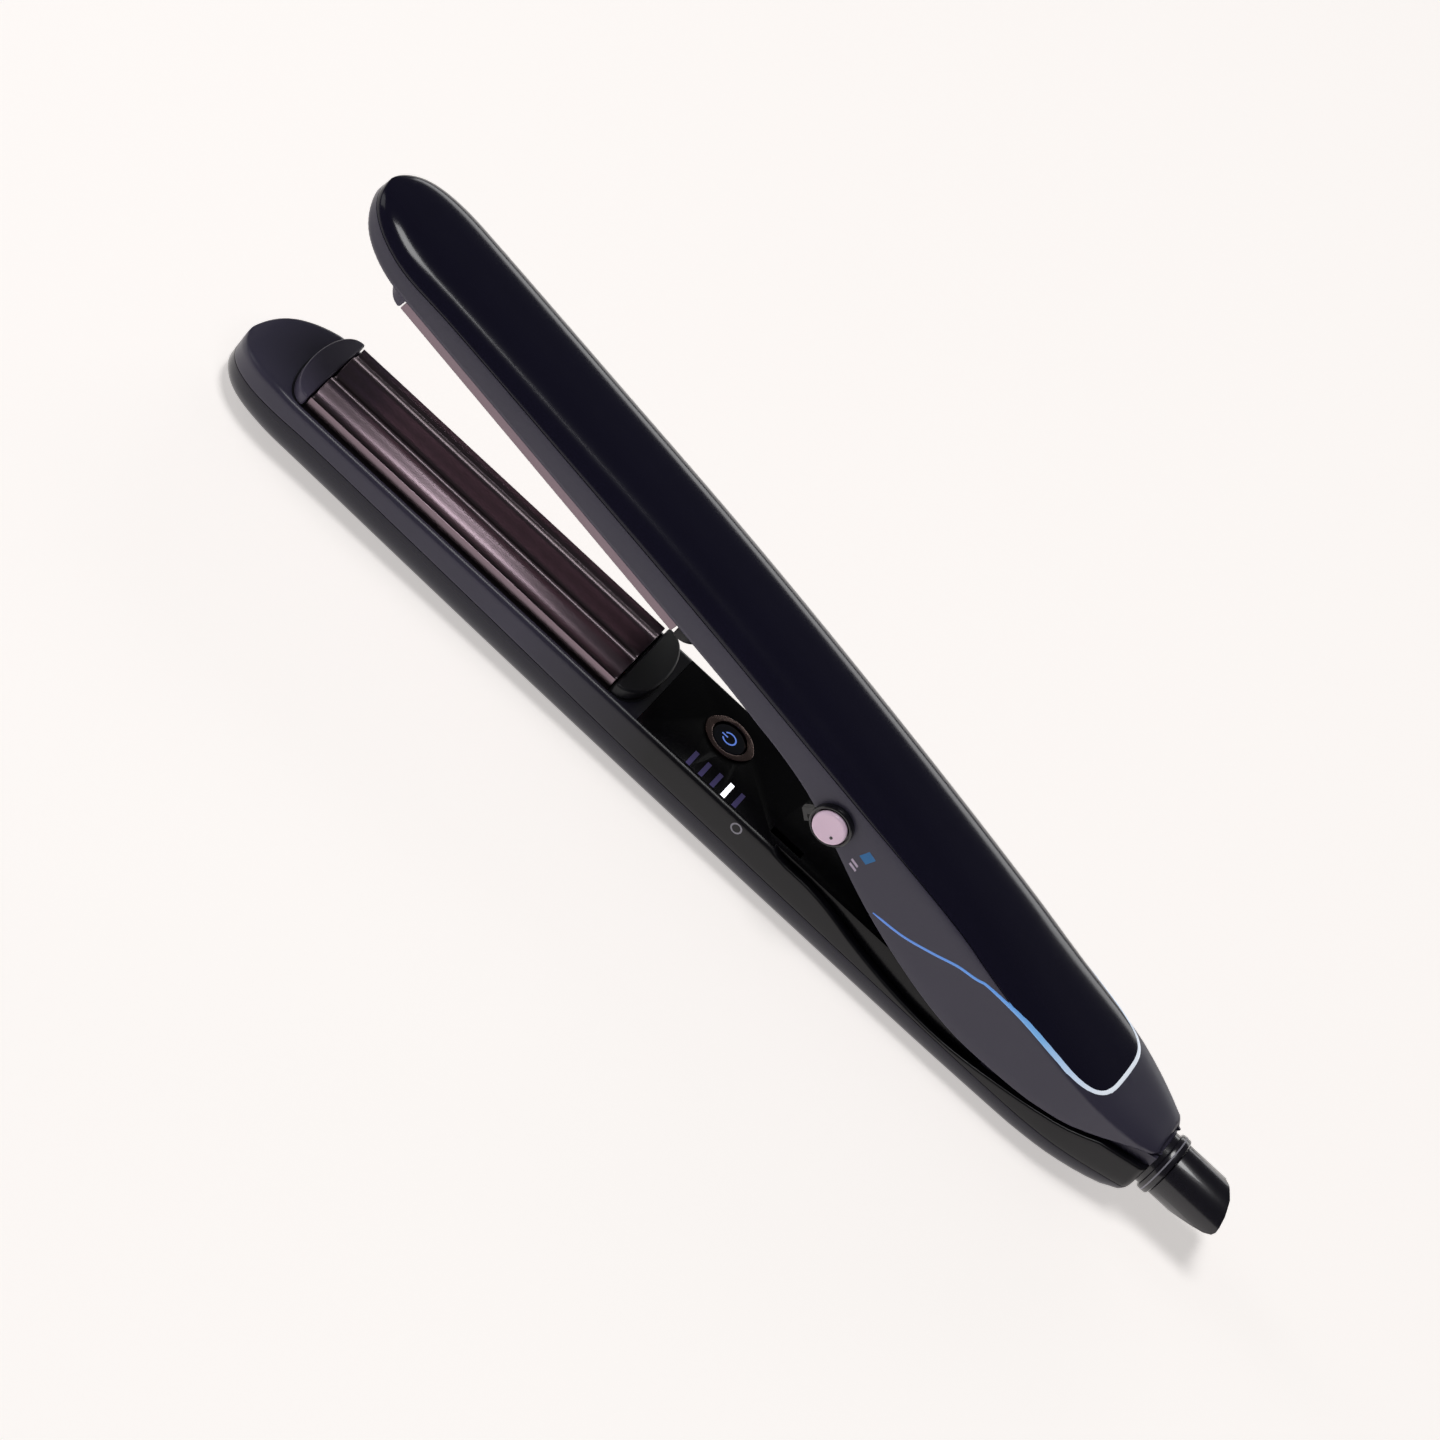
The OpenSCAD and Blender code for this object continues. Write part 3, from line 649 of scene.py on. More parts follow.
def skin(form: ArmForm, stations: Sequence[float], row: Row,
         keep: Keep = lambda x, column: True) -> bmesh.types.BMesh:
    """Lay a grid over an arm, one row of points at each station.

    Args:
        form: The arm's form.
        stations: Places along the arm.
        row: Gives the (y, depth) points at a station.
        keep: Says whether the face at a place and column stays.

    Returns:
        The open skin, with its faces turned outwards.
    """
    made, places = grid([[form.point(x, *spot) for spot in row(x)] for x in stations])
    outward, gone = 0.0, []
    made.normal_update()
    for f, (station, column) in places.items():
        x = (stations[station] + stations[station + 1]) / 2
        heart = form.point(x, 0.0, (form.crown_depth(x) + form.outer.at(x)) / 2)
        if keep(x, column):
            outward += f.normal.dot(f.calc_center_median() - heart) * f.calc_area()
        else:
            gone.append(f)
    bmesh.ops.delete(made, geom=gone, context="FACES")
    bmesh.ops.remove_doubles(made, verts=made.verts, dist=WELD)
    bmesh.ops.dissolve_degenerate(made, edges=made.edges, dist=TINY)
    if outward < 0:
        bmesh.ops.reverse_faces(made, faces=made.faces)
    return made


def lathe(profile: Sequence[Pair], origin: Vector, axis: Vector,
          turns: int = 64) -> bmesh.types.BMesh:
    """Spin a closed profile about an axis.

    Args:
        profile: (radius, along) points in millimetres; the ends may lie on the axis.
        origin: Where along is 0, in the row frame.
        axis: Direction of the axis.
        turns: Steps round.

    Returns:
        The closed solid.
    """
    axis = axis.normalized()
    side = axis.orthogonal().normalized()
    made = bmesh.new()
    verts = [made.verts.new(origin + axis * (a * MM) + side * (r * MM)) for r, a in profile]
    edges = [made.edges.new(pair) for pair in zip(verts, verts[1:])]
    if profile[0][0] > 0:
        edges.append(made.edges.new((verts[-1], verts[0])))
    bmesh.ops.spin(made, geom=[*verts, *edges], cent=origin, axis=axis, angle=2 * math.pi,
                   steps=turns, use_merge=True)
    bmesh.ops.remove_doubles(made, verts=made.verts, dist=TINY)
    bmesh.ops.recalc_face_normals(made, faces=made.faces)
    return made


def raise_face(made: bmesh.types.BMesh, outline: Sequence[Vector], lift: Vector) -> None:
    """Add a flat outline to a mesh and extrude it.

    Args:
        made: The mesh.
        outline: Corners in order, in the row frame.
        lift: The extrusion.
    """
    base = made.faces.new([made.verts.new(p) for p in outline])
    grown = bmesh.ops.extrude_face_region(made, geom=[base], use_keep_orig=True)
    moved = [g for g in grown["geom"] if isinstance(g, bmesh.types.BMVert)]
    bmesh.ops.translate(made, verts=moved, vec=lift)
    bmesh.ops.recalc_face_normals(made, faces=made.faces)


def slab(outline: Sequence[Vector], lift: Vector) -> bmesh.types.BMesh:
    """Extrude a flat outline.

    Args:
        outline: Corners in order, in the row frame.
        lift: The extrusion.

    Returns:
        The closed solid.
    """
    made = bmesh.new()
    raise_face(made, outline, lift)
    return made


@dataclass(frozen=True)
class Dressing:
    """How a shaped mesh becomes a piece of the object."""

    name: str
    body: str
    finish: Finish
    stands_for: tuple[str, ...] = ()
    wall_mm: float = 0.0
    round_mm: float = 0.0
    round_steps: int = 3
    sharp_deg: float = 32.0
    slot: str = ""
    flats: bool = False

    def make(self, shape: bmesh.types.BMesh,
             material: bpy.types.Material | None = None) -> bpy.types.Object:
        """Turn the shape into an object that rides on its body.

        Args:
            shape: The shape, which is used up.
            material: A material to use in place of the finish's own.

        Returns:
            The object.
        """
        mesh = bpy.data.meshes.new(self.name)
        shape.to_mesh(mesh)
        shape.free()
        piece = bpy.data.objects.new(self.name, mesh)
        bpy.context.scene.collection.objects.link(piece)
        if self.wall_mm:
            wall = piece.modifiers.new("wall", "SOLIDIFY")
            wall.thickness, wall.offset = self.wall_mm * MM, -1.0
            wall.use_quality_normals = True
        if self.round_mm:
            soft = piece.modifiers.new("round", "BEVEL")
            soft.width, soft.segments = self.round_mm * MM, self.round_steps
            soft.limit_method, soft.angle_limit = "ANGLE", math.radians(BEVEL_FROM)
            soft.use_clamp_overlap = True
        if self.wall_mm or self.round_mm:
            ready = piece.evaluated_get(bpy.context.evaluated_depsgraph_get())
            piece.data = bpy.data.meshes.new_from_object(ready)
            piece.modifiers.clear()
            piece.data.name = self.name
        for polygon in piece.data.polygons:
            polygon.use_smooth = not (self.flats and polygon.loop_total > 4)
        piece.data.set_sharp_from_angle(angle=math.radians(self.sharp_deg))
        piece.data.materials.clear()
        piece.data.materials.append(material or self.finish.material())
        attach(piece, self.body)
        if self.stands_for:
            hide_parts(*self.stands_for)
        LOG.info("%s: %d faces on %s", self.name, len(piece.data.polygons), self.body)
        return piece


def merged_copy(node: str) -> bmesh.types.BMesh:
    """A CAD node's own shape with its loose triangles joined.

    Args:
        node: The node's name.

    Returns:
        The joined shape.
    """
    made = bmesh.new()
    made.from_mesh(frame["nodes"][node].data)
    bmesh.ops.remove_doubles(made, verts=made.verts, dist=WELD)
    bmesh.ops.dissolve_limit(made, angle_limit=math.radians(0.6), verts=made.verts,
                             edges=made.edges)
    return made


def mirrored(half: Sequence[Pair]) -> list[Pair]:
    """A whole row from its near half, which runs towards the middle line.

    Args:
        half: (y, depth) points with y positive.

    Returns:
        The row from the near side, where y is negative, to the far side.
    """
    near = [(-y, depth) for y, depth in half]
    far = [*reversed(half)]
    return near + (far[1:] if half[-1][0] < 1e-6 else far)


def rounding(width: float, top: float, radius: float, degrees: Sequence[float]) -> list[Pair]:
    """Points round the edge between a side and a face.

    Args:
        width: Half width at the side.
        top: The face's depth.
        radius: The edge's radius.
        degrees: Angles from the side.

    Returns:
        The (y, depth) points.
    """
    turns = [math.radians(d) for d in degrees]
    return [(width - radius + radius * math.cos(a), top + radius - radius * math.sin(a))
            for a in turns]


def steps(low: float, high: float, count: int) -> list[float]:
    """Even steps from low to high, both included."""
    return [low + (high - low) * k / count for k in range(count + 1)]


# ---------------------------------------------------------------- sub-assemblies
@dataclass(frozen=True)
class LowerShells:
    """Cover and housing of the lower arm."""

    form: ArmForm
    ledge: Curve
    gap: float = 0.1
    panel: Pair = (103.9, 146.4)
    plate: Pair = (-0.8, 95.5)
    shoulder: float = 2.25
    # Span along the arm over which painted shade darkens the housing's side to near black.
    painted_shade_span: Pair = (70.0, 112.0)
    edge_turns: tuple[float, ...] = (18, 36, 54, 71.8, 90)
    columns: int = 32

    def top(self, x: float) -> float:
        """Depth of the housing's upper edge."""
        face = self.form.face.at(x)
        return face if x <= self.panel[1] else max(face, self.ledge.at(x))

    def cover_row(self, x: float) -> list[Pair]:
        """Cover's row: seam, belly, seam."""
        start = self.form.way_at_depth(x, self.form.seam.at(x) + self.gap)
        return mirrored([self.form.over(x, t) for t in steps(start, 1.0, 20)])

    def housing_row(self, x: float) -> list[Pair]:
        """Housing's row: seam, side, rounded edge, face, and back.

        Args:
            x: Along the arm.

        Returns:
            The (y, depth) points.
        """
        form, top, behind = self.form, self.top(x), x > self.panel[1]
        r = min(form.radius(x), 0.6 if behind else 9.0, (form.seam.at(x) - top) * 0.5)
        half = [form.side(x, d) for d in steps(form.seam.at(x) - self.gap, top + r, 7)]
        w = half[-1][0]
        half += rounding(w, top, r, self.edge_turns)
        inner = w - self.shoulder if behind else (w - r) * 0.93
        return mirrored(half + [(max(inner, 0.0) * k, top) for k in (1.0, 0.6, 0.3, 0.0)])

    def housing_stays(self, x: float, column: int) -> bool:
        """Leave the plate's and the panel's openings, and the space between the shoulders.

        Args:
            x: Along the arm.
            column: The face's column.

        Returns:
            Whether the face stays.
        """
        place = min(column, self.columns - 1 - column)
        if self.plate[0] < x < self.plate[1]:
            return place < 12
        if self.panel[0] < x < self.panel[1]:
            return place < 11
        return place < 13 if x > self.panel[1] else True

    def housing_material(self) -> bpy.types.Material:
        """Satin gray in front that darkens to near black beside the panel: painted shade for the
        side that lies in shadow there.

        Returns:
            The material.
        """
        graph = Graph("housing_painted_shade")
        fine, cloud = graph.noise(HOUSING.grain_mm), graph.noise(CLOUD_MM, 2.0)
        gray = graph.blend(cloud * 0.6 + fine * 0.4, HOUSING.colour, HOUSING.second)
        # The ramp paints shade: the housing's side darkens from satin gray to near black along the
        # arm.
        low, high = (self.form.point(x, 0, 0).x for x in self.painted_shade_span)
        share = graph.ramp(low, high, [(0.0, (0.0, 0.0, 0.0)), (1.0, (1.0, 1.0, 1.0))])
        graph.shade(Base_Color=graph.blend(share, gray, linear(12, 11, 17)),
                    Roughness=fine * 0.1 + 0.26, Specular_IOR_Level=0.35,
                    Normal=graph.relief(fine, HOUSING.depth_mm, 0.6))
        return graph.material

    def build(self) -> list[bpy.types.Object]:
        """Make the shells.

        Returns:
            The pieces.
        """
        body = self.form.arm.value
        stops = (*self.plate, *self.panel, 148.5, 158.0)
        cover = Dressing("cover_lower", body, SHELL, ("lower_cover",), SHELL_WALL, SHELL_ROUND,
                         slot="shell_gloss")
        housing = Dressing("housing_lower", body, HOUSING, ("lower_housing",), SHELL_WALL, 0.15,
                           slot="housing_satin")
        stations = self.form.stations(stops)
        return [cover.make(skin(self.form, stations, self.cover_row)),
                housing.make(skin(self.form, stations, self.housing_row, self.housing_stays),
                             self.housing_material())]


@dataclass(frozen=True)
class UpperShells:
    """Cover, housing with its cheeks and hood, and trim of the upper arm."""

    form: ArmForm
    trim: tuple[Pair, ...]
    gap: float = 0.1
    plate: Pair = (-0.8, 95.5)
    recess: Pair = (126.0, 208.5)
    slot: Pair = (144.7, 157.7)
    roof: float = 3.9
    cheek: float = 1.6
    meeting: Pair = (206.0, 216.0)
    tail_x: float = 239.2
    edge_turns: tuple[float, ...] = (22.5, 45, 67.5, 90)
    columns: int = 56
    slot_column: int = 25

    def path(self, part: float) -> Pair:
        """The trim's path.

        Args:
            part: Way along the path, 0 to 1.

        Returns:
            Place along the arm, and millimetres below the crown or degrees over it.
        """
        u = min(max(part, 0.0), 1.0) * (len(self.trim) - 1)
        keys = (tuple((i, key[k]) for i, key in enumerate(self.trim)) for k in (0, 1))
        return tuple(Curve(key).at(u) for key in keys)

    def border(self, x: float, shift: float) -> float:
        """Where the cover meets the housing, as a way over the crown.

        Args:
            x: Along the arm.
            shift: Distance from the joint's middle, towards the cover if positive.

        Returns:
            The way.
        """
        seam = self.form.way_at_depth(x, self.form.seam.at(x) + shift)
        if x < self.meeting[0]:
            return seam
        if x + shift >= self.trim[-1][0]:
            return 1.0
        low, high = 0.0, 1.0
        for _ in range(30):
            middle = (low + high) / 2
            low, high = (middle, high) if self.path(middle)[0] < x + shift else (low, middle)
        line = self.form.way((self.path(high)[1] + shift * 4) / 90)
        share = min((x - self.meeting[0]) / (self.meeting[1] - self.meeting[0]), 1.0)
        return seam * (1 - share) + line * share

    def cover_row(self, x: float) -> list[Pair]:
        """Cover's row: seam, crown, seam."""
        start = self.border(x, self.gap)
        return mirrored([self.form.over(x, t) for t in steps(start, 1.0, 20)])

    def housing_row(self, x: float) -> list[Pair]:
        """Housing's row: border, cheek, rounded edge, underside, and back.

        Args:
            x: Along the arm.

        Returns:
            The (y, depth) points.
        """
        form, face, hollow = self.form, self.form.face.at(x), x > self.recess[0]
        r = form.radius(x)
        half = [form.over(x, t) for t in steps(self.border(x, -self.gap), 0.0, 12)]
        w, crown = half[-1]
        half += [(w, d) for d in steps(crown, face + r, 5)[1:]]
        half += rounding(w, face, r, self.edge_turns)
        inside = max(0.0, w - (self.cheek if hollow else r))
        roof = self.roof if hollow else face
        scale = inside / 13.8
        return mirrored(half + [(inside, face), (inside, (face + roof) / 2), (inside, roof)]
                        + [(y * scale, roof) for y in (12.6, 7.8, 4.0, 0.0)])

    def housing_stays(self, x: float, column: int) -> bool:
        """Leave the plate's opening, the hook's slot, and the open hood.

        Args:
            x: Along the arm.
            column: The face's column.

        Returns:
            Whether the face stays.
        """
        place = min(column, self.columns - 1 - column)
        if self.plate[0] < x < self.plate[1]:
            return place < 21
        if self.slot[0] < x < self.slot[1] and column == self.slot_column:
            return False
        return place < 22 if x > self.recess[1] else True

    def on_trim(self, part: float, reach: float, side: int, lift: float) -> Vector:
        """A point on the trim's path.

        Args:
            part: Way along the path, 0 to 1.
            reach: Distance to the side of the path.
            side: -1 near, 1 far.
            lift: Distance out of the skin.

        Returns:
            The point in the row frame.
        """
        def skin_at(x: float, s: float) -> Vector:
            """A place on the skin.

            Args:
                x: Along the arm.
                s: Millimetres below the crown, or degrees over it.

            Returns:
                The place in the arm's own millimetres.
            """
            if s <= 0:
                return Vector((x, side * self.form.width(x), self.form.crown_depth(x) + s))
            y, depth = self.form.over(x, self.form.way(s / 90))
            return Vector((x, side * y, depth))

        here, before, after = (self.path(part + k) for k in (0.0, -0.03, 0.03))
        middle = (skin_at(*before) + skin_at(*here) * 2 + skin_at(*after)) / 4
        along = (skin_at(*after) - skin_at(*before)).normalized()
        x, s = here
        ahead = skin_at(x + 0.4, s) - skin_at(x - 0.4, s)
        around = skin_at(x, min(s + 1, 90)) - skin_at(x, s - 1)
        out = ahead.cross(around).normalized()
        if out.dot(Vector((0, middle.y, 4.0))) < 0:
            out = -out
        across = along.cross(out).normalized()
        point = skin_at(*here) + across * reach + out * lift
        return self.form.point(*point)

    def trim_strip(self, side: int, rows: int = 150, half_mm: float = 0.72) -> bmesh.types.BMesh:
        """The bright line that follows the skin, from the cheek to the middle of the tail.

        Args:
            side: -1 near, 1 far.
            rows: How many steps it has.
            half_mm: Half its width where it is neither thinned nor widened.

        Returns:
            The open strip, facing outwards.
        """
        table = []
        for k in range(rows + 1):
            part = k / rows
            half = half_mm * (0.7 + 0.5 * part) * min(1.0, 0.5 + part * 20)
            table.append([self.on_trim(part, half * c, side, -0.12 + 0.2 * (1 - c * c))
                          for c in (-1, -0.75, -0.4, 0, 0.4, 0.75, 1)])
        made, _ = grid(table)
        made.normal_update()
        middle = self.form.point(215.0, 0.0, 5.0)
        if sum((f.calc_center_median() - middle).dot(f.normal) for f in made.faces) < 0:
            bmesh.ops.reverse_faces(made, faces=made.faces)
        return made

    def trim_material(self) -> bpy.types.Material:
        """Blue in front, fading to near white at the tail, with a painted glow over its whole
        length.

        Returns:
            The material.
        """
        graph = Graph("trim_fade_painted_glow")
        low = self.form.point(176.0, 0, 0).x
        tone = graph.ramp(low, low + 0.062, [
            (0.0, linear(84, 128, 210)), (0.45, linear(84, 142, 216)),
            (0.7, linear(124, 176, 228)), (1.0, linear(230, 237, 247))])
        # The emission paints a glow on the trim, which is no lamp.
        graph.shade(Base_Color=tone, Emission_Color=tone, Emission_Strength=0.45,
                    Roughness=graph.noise(0.5) * 0.1 + 0.2, Coat_Weight=0.3)
        return graph.material

    def build(self) -> list[bpy.types.Object]:
        """Make the shells and the trim.

        Returns:
            The pieces.
        """
        body = self.form.arm.value
        stops = (*self.plate, 122.0, self.recess[0], *self.slot, 207.0, self.recess[1], 226.1,
                 231.0, 233.0, 235.0, 236.2, 237.1, 237.8, 238.4, 238.8, 239.05, self.tail_x, 239.4)
        stations = self.form.stations(stops)
        covered = [x for x in stations if x <= self.tail_x]
        cover = Dressing("cover_upper", body, SHELL, ("upper_cover",), SHELL_WALL, SHELL_ROUND,
                         slot="shell_gloss")
        housing = Dressing("housing_upper", body, HOUSING, ("upper_housing",), 0.75, SHELL_ROUND,
                           slot="housing_satin")
        made = [cover.make(skin(self.form, covered, self.cover_row)),
                housing.make(skin(self.form, stations, self.housing_row, self.housing_stays))]
        strip = self.trim_strip(-1)
        other = self.trim_strip(1)
        spare = bpy.data.meshes.new("spare")
        other.to_mesh(spare)
        strip.from_mesh(spare)
        other.free()
        bpy.data.meshes.remove(spare)
        trim = Dressing("trim_line", body, SHELL, ("upper_trim",), 0.35, slot="trim")
        return [*made, trim.make(strip, self.trim_material())]


@dataclass(frozen=True)
class HotPlates:
    """Both wave plates and the caps at their ends."""

    placing: Placing
    half: float = 12.6
    pitch: float = 10.5
    wave: float = 1.2
    gap: float = 0.4
    length: Pair = (0.3, 94.4)

    def plate(self, arm: Arm) -> bmesh.types.BMesh:
        """One plate's wave face and skirts.

        Args:
            arm: Which arm.

        Returns:
            The closed solid.
        """
        sign = 1 if arm is Arm.LOWER else -1
        face = [(y, self.gap / 2 + sign * self.wave * math.cos(2 * math.pi * y / self.pitch))
                for y in steps(-self.half, self.half, 120)]
        inner = self.half - 1.3
        skirt, back = 5.6, 3.2
        under = [(self.half, skirt), (inner, skirt), (inner, back),
                 (-inner, back), (-inner, skirt), (-self.half, skirt)]
        low, high = self.length
        outline = [self.placing.at(arm, low, *p) for p in face + under]
        return slab(outline, self.placing.at(arm, high, 0, 0) - self.placing.at(arm, low, 0, 0))

    def cap(self, arm: Arm, x0: float, reach: float, half: float = 13.7, low: float = 3.6,
            high: float = 0.25) -> bmesh.types.BMesh:
        """One cap, or the black crescent round its foot that paints the shade in the groove there.

        Args:
            arm: Which arm.
            x0: Its straight end.
            reach: How far it bulges, with its direction.
            half: Half its width.
            low: Depth of its foot.
            high: Depth of its top.

        Returns:
            The closed solid.
        """
        outline = []
        for angle in steps(-90, 90, 60):
            a = math.radians(angle)
            x = x0 + reach * max(0.0, math.cos(a)) ** 0.8
            outline.append(self.placing.at(arm, x, half * math.sin(a), low))
        lift = self.placing.at(arm, x0, 0, high) - self.placing.at(arm, x0, 0, low)
        return slab(outline, lift)

    def build(self) -> list[bpy.types.Object]:
        """Make the plates and caps.

        Returns:
            The pieces.
        """
        made = []
        for arm, side in ((Arm.LOWER, "lower"), (Arm.UPPER, "upper")):
            plate = Dressing(f"wave_plate_{side}", f"{side}_plate_float", PLATE,
                             (f"{side}_plate",), 0, 0.15, slot="plate")
            front = Dressing(f"cap_front_{side}", arm.value, CAP_GRAY, (f"{side}_front_cap",),
                             0, 1.5, 6, slot="cap_gray", flats=True)
            rear = Dressing(f"cap_rear_{side}", arm.value, CAP_BLACK, (f"{side}_rear_cap",),
                            0, 1.2, 5, slot="cap_black", flats=True)
            # The black crescents under the caps' feet paint the shade in the groove between each
            # cap and the housing.
            joint = Dressing(f"painted_shade_front_{side}", arm.value, CAP_BLACK)
            foot = Dressing(f"painted_shade_rear_{side}", arm.value, CAP_BLACK)
            made += [plate.make(self.plate(arm)), front.make(self.cap(arm, -0.1, -6.2)),
                     rear.make(self.cap(arm, 95.0, 7.6)),
                     joint.make(self.cap(arm, -0.6, -6.15, 13.75, 3.65, 3.4)),
                     foot.make(self.cap(arm, 95.7, 7.35, 13.75, 3.65, 3.4))]
        return made


@dataclass(frozen=True)
class ControlDeck:
    """Glossy panel, power button with its bezel and symbol, and the mark beside it."""

    placing: Placing
    button: Pair = (122.4, 2.7)

    def symbol(self) -> bmesh.types.BMesh:
        """A broken ring with a bar in its gap.

        Returns:
            The two closed solids.
        """
        x, y = self.button
        centre = self.placing.at(Arm.LOWER, x, y, 3.49)
        made = bmesh.new()
        ring = [(1.55, 0), (1.9, 0), (1.9, 0.05), (1.55, 0.05)]
        start = Matrix.Rotation(math.radians(212), 3, "Z")
        verts = [made.verts.new(centre + start @ Vector((r, 0, h)) * MM) for r, h in ring]
        face = made.faces.new(verts)
        bmesh.ops.spin(made, geom=[*verts, *face.edges, face], cent=centre, axis=(0, 0, 1),
                       angle=math.radians(296), steps=48)
        turn = Matrix.Translation(centre) @ Matrix.Rotation(math.radians(90), 4, "Z")
        bar = ((-0.17, 0.5, 0), (0.17, 0.5, 0), (0.17, 2.2, 0), (-0.17, 2.2, 0))
        raise_face(made, [turn @ (Vector(p) * MM) for p in bar], Vector((0, 0, 0.05 * MM)))
        return made

    def build(self) -> list[bpy.types.Object]:
        """Make the deck.

        Returns:
            The pieces.
        """
        lower = Arm.LOWER.value
        x, y = self.button
        top = self.placing.at(Arm.LOWER, x, y, 0.0)
        panel = Dressing("panel_soft", lower, PANEL, ("control_panel",), 0, 0.25, 3,
                         slot="panel_gloss", flats=True)
        bezel = Dressing("bezel_soft", lower, BEZEL, ("power_bezel",), 0, 0.12, 3,
                         slot="bezel", flats=True)
        cap = [(0, -5.0), (4.1, -5.0), (4.42, -4.6), (4.42, -3.75), (4.3, -3.62), (4.05, -3.55),
               (3.4, -3.52), (2.2, -3.5), (0, -3.5)]
        button = Dressing("button_face", "power_button", BUTTON, ("power_button",), slot="button")
        symbol = Dressing("power_symbol", "power_button", SYMBOL, slot="light_guide")
        mark = self.placing.at(Arm.LOWER, 137.3, -15.38, 6.3)
        ring = Dressing("ring_mark", lower, RING_MARK)
        band = [(1.1, 0), (1.5, 0), (1.5, 0.06), (1.1, 0.06)]
        return [panel.make(merged_copy("control_panel")), bezel.make(merged_copy("power_bezel")),
                button.make(lathe(cap, top, Vector((0, 0, 1)))), symbol.make(self.symbol()),
                ring.make(lathe(band, mark, Vector((0, -1, 0))))]


@dataclass(frozen=True)
class LockKnob:
    """Knob, its ring, and the lock marks on the cheek."""

    placing: Placing
    x: float = 151.0
    depth: float = 2.3

    def patch(self, spots: Sequence[Pair], y: float = -15.37,
              lift: float = 0.05) -> bmesh.types.BMesh:
        """A thin printed patch on the near cheek.

        Args:
            spots: (x, depth) corners.
            y: Where its back is.
            lift: Its thickness.

        Returns:
            The closed patch.
        """
        outline = [self.placing.at(Arm.UPPER, x, y, d) for x, d in spots]
        return slab(outline, Vector((0, -lift * MM, 0)))

    def build(self) -> list[bpy.types.Object]:
        """Make the knob and its marks.

        Returns:
            The pieces.
        """
        upper = Arm.UPPER.value
        heart = self.placing.at(Arm.UPPER, self.x, 0, self.depth)
        axis = Vector((0, -1, 0))
        knob = [(0, 9.2), (1.5, 9.2), (1.5, 16.4), (3.9, 16.4), (4.2, 16.55), (4.3, 16.9),
                (4.3, 17.3), (4.24, 17.6), (4.05, 17.85), (3.8, 17.97), (3.5, 18.0), (3.1, 17.95),
                (2.0, 17.84), (0, 17.8)]
        ring = [(4.62, 16.1), (1.7, 16.1), (1.7, 15.45), (5.4, 15.45), (5.4, 16.6), (5.33, 16.9),
                (5.1, 17.07), (4.85, 17.08), (4.68, 16.95)]
        dot = heart + Matrix.Rotation(math.radians(37), 3, "Y") @ Vector((2.3, 0, 0)) * MM
        made = [
            Dressing("knob_turned", "lock_knob", KNOB, ("lock_knob",), slot="knob_face").make(
                lathe(knob, heart, axis)),
            Dressing("knob_seat", upper, KNOB_DARK, ("knob_ring",), slot="knob_black").make(
                lathe(ring, heart, axis)),
            Dressing("knob_dot", "lock_knob", KNOB_DARK).make(
                lathe([(0, 17.8), (0.4, 17.8), (0.4, 17.95), (0, 17.95)], dot, axis, 20)),
            Dressing("lock_mark_blue", upper, MARK_BLUE).make(
                self.patch([(160.4, 2.2), (162.9, 1.9), (163.5, 4.9), (161.0, 5.2)])),
        ]
        for k, (x, depth) in enumerate(((160.0, 0.2), (160.5, -1.0))):
            bar = [(x, depth), (x + 2.3, depth - 0.2), (x + 2.4, depth - 0.85),
                   (x + 0.1, depth - 0.65)]
            made.append(Dressing(f"lock_mark_pale_{k}", upper, MARK_PALE).make(self.patch(bar)))
        return made


@dataclass(frozen=True)
class Tail:
    """Tail block, collar and swivelling sleeve."""

    placing: Placing
    swivel_depth: float = 6.0

    def build(self) -> list[bpy.types.Object]:
        """Make the tail.

        Returns:
            The pieces.
        """
        lower = Arm.LOWER.value
        origin = self.placing.at(Arm.LOWER, 0, 0, self.swivel_depth)
        axis = Vector((1, 0, 0))
        collar = [(4.4, 258.5), (7.2, 258.5), (7.2, 259.75), (7.55, 259.8), (7.85, 259.95),
                  (8.0, 260.3), (8.0, 262.1), (7.9, 262.4), (7.6, 262.6), (4.4, 262.6)]
        line = [(7.9, 260.9), (8.03, 260.9), (8.03, 261.25), (7.9, 261.25)]
        return [
            Dressing("tail_soft", lower, HOUSING, ("tail_block",), 0, 0.3, 3,
                     slot="housing_satin", flats=True).make(merged_copy("tail_block")),
            Dressing("collar_turned", lower, SWIVEL, ("swivel_collar",), slot="swivel_black").make(
                lathe(collar, origin, axis)),
            Dressing("collar_line", lower, RING_MARK).make(lathe(line, origin, axis)),
            Dressing("sleeve_soft", "swivel", SWIVEL, ("swivel_sleeve",), 0, 0.5, 4,
                     slot="swivel_black").make(merged_copy("swivel_sleeve")),
        ]


